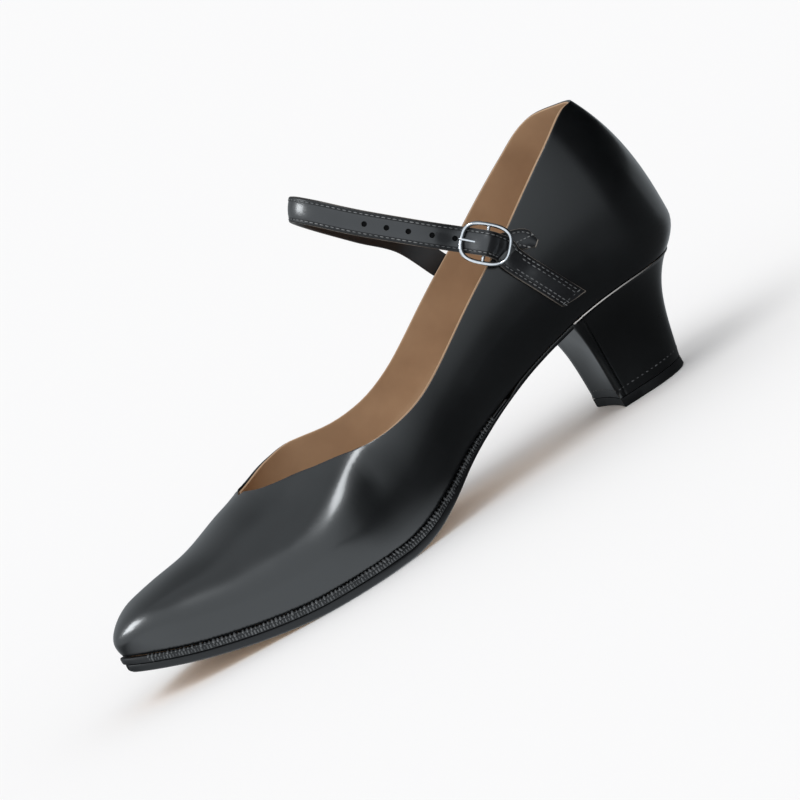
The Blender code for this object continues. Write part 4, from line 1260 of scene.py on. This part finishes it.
# Stitches of the tab: the strap's thread in a row along each edge, and a cross between the rows
# that holds the folded strip to the quarter.
TAB_SEWN, TAB_PITCH, TAB_STITCH = TAB_FRAMES[-24:-5], 0.0015, (0.0012, 0.00036, 0.00028)
TAB_ROW_SHARE, CROSS_SHARE = 0.66, 0.6  # of the tab's half width
first, last = TAB_SEWN[0], TAB_SEWN[-1]
lines = [sewn(TAB_SEWN, TAB_WIDTH, TAB_THICK, side * TAB_ROW_SHARE, 0.6) for side in (-1, 1)]
for side in (-CROSS_SHARE, CROSS_SHARE):
    start = first[0] + first[2] * (side * TAB_WIDTH / 2) + first[3] * (0.62 * TAB_THICK)
    finish = last[0] + last[2] * (-side * TAB_WIDTH / 2) + last[3] * (0.62 * TAB_THICK)
    way = (finish - start).normalized()
    steps = [start.lerp(finish, i / 6) for i in range(7)]
    lines.append([(spot + first[3] * 0.0001, way, first[3]) for spot in steps])
marked("tab_stitches", "strap_leather", THREAD, lines, TAB_PITCH, TAB_STITCH, 0.1)

# Buckle: bent wire, nickel-plated and a little worn. A rounded loop has a straight bar across it,
# and the pin is closed round the bar and lies on the loop's front rail.
SQUARENESS = 3.0
PLATED = bpy.data.materials.new("plated_wire")
tree, links = nodes_of(PLATED)
shader = filled(tree["Principled BSDF"], Metallic=1.0)
wear = filled(tree.new("ShaderNodeTexNoise"), Scale=900)
colour = ramp(tree, (0.0, (0.38, 0.39, 0.41)), (1.0, (0.60, 0.61, 0.63)))
rough = filled(tree.new("ShaderNodeMapRange"), To_Min=0.10, To_Max=0.24)
wired(
    links,
    (tree.new("ShaderNodeTexCoord"), "Object", wear, "Vector"),
    (wear, "Fac", colour, "Fac"),
    (wear, "Fac", rough, "Value"),
    (colour, "Color", shader, "Base Color"),
    (rough, "Result", shader, "Roughness"),
)


def wire(points, diameter, cyclic=False, sides=14, ends=None):
    """A round wire along the points."""
    bm = bmesh.new()
    rings = []
    count = len(points)
    for i, point in enumerate(points):
        before = points[i - 1] if i or cyclic else points[0]
        after = points[(i + 1) % count] if i + 1 < count or cyclic else points[-1]
        run = (after - before).normalized()
        side = run.cross(BUCKLE.out)
        if side.length < 0.2:
            side = run.cross(BUCKLE.across)
        side.normalize()
        up = run.cross(side)
        half = diameter / 2 * (ends(i / (count - 1)) if ends else 1)
        ring = []
        for k in range(sides):
            angle = math.tau * k / sides
            ring.append(point + (side * math.cos(angle) + up * math.sin(angle)) * half)
        rings.append(ring)
    if cyclic:
        rings.append(rings[0])
    skin(bm, rings, capped=not cyclic)
    return bm


half_length, half_width = (BUCKLE_LENGTH - BUCKLE_WIRE) / 2, (BUCKLE_WIDTH - BUCKLE_WIRE) / 2
loop = []
for i in range(96):
    angle = math.tau * i / 96
    c, s = (
        math.copysign(abs(part) ** (2 / SQUARENESS), part)
        for part in (math.cos(angle), math.sin(angle))
    )
    loop.append(on_buckle(half_length * c, half_width * s, 0))
loop = piece_from("buckle_loop", wire(loop, BUCKLE_WIRE, cyclic=True), [PLATED])
hand_over(loop, "chrome", "buckle_frame")
bar = [on_buckle(0, side * half_width, 0) for side in (-1, 1)]
bar = piece_from("buckle_bar", wire(bar, BAR_WIRE), [PLATED], 50)
hand_over(bar, "chrome", "buckle_frame")

pin_ring = (BAR_WIRE + PRONG_WIRE) / 2 + RUNNING_GAP
rim_over = (BUCKLE_WIRE + PRONG_WIRE) / 2 + RUNNING_GAP
pin = []
for degrees in range(-200, 91, 10):
    angle = math.radians(degrees)
    pin.append(on_buckle(pin_ring * math.cos(angle), 0, pin_ring * math.sin(angle)))
for ahead, out in (
    (half_length * 0.5, (pin_ring + rim_over) / 2),
    (half_length, rim_over),
    (half_length + PRONG_WIRE * 0.7, rim_over * 0.92),
    (half_length + PRONG_WIRE, rim_over * 0.9),
):
    pin.append(on_buckle(-ahead, 0, out))
pin = wire(pin, PRONG_WIRE, ends=lambda share: 0.6 if share == 1 else 1.0)
hand_over(piece_from("buckle_pin", pin, [PLATED], 60), "chrome", "buckle_prong")
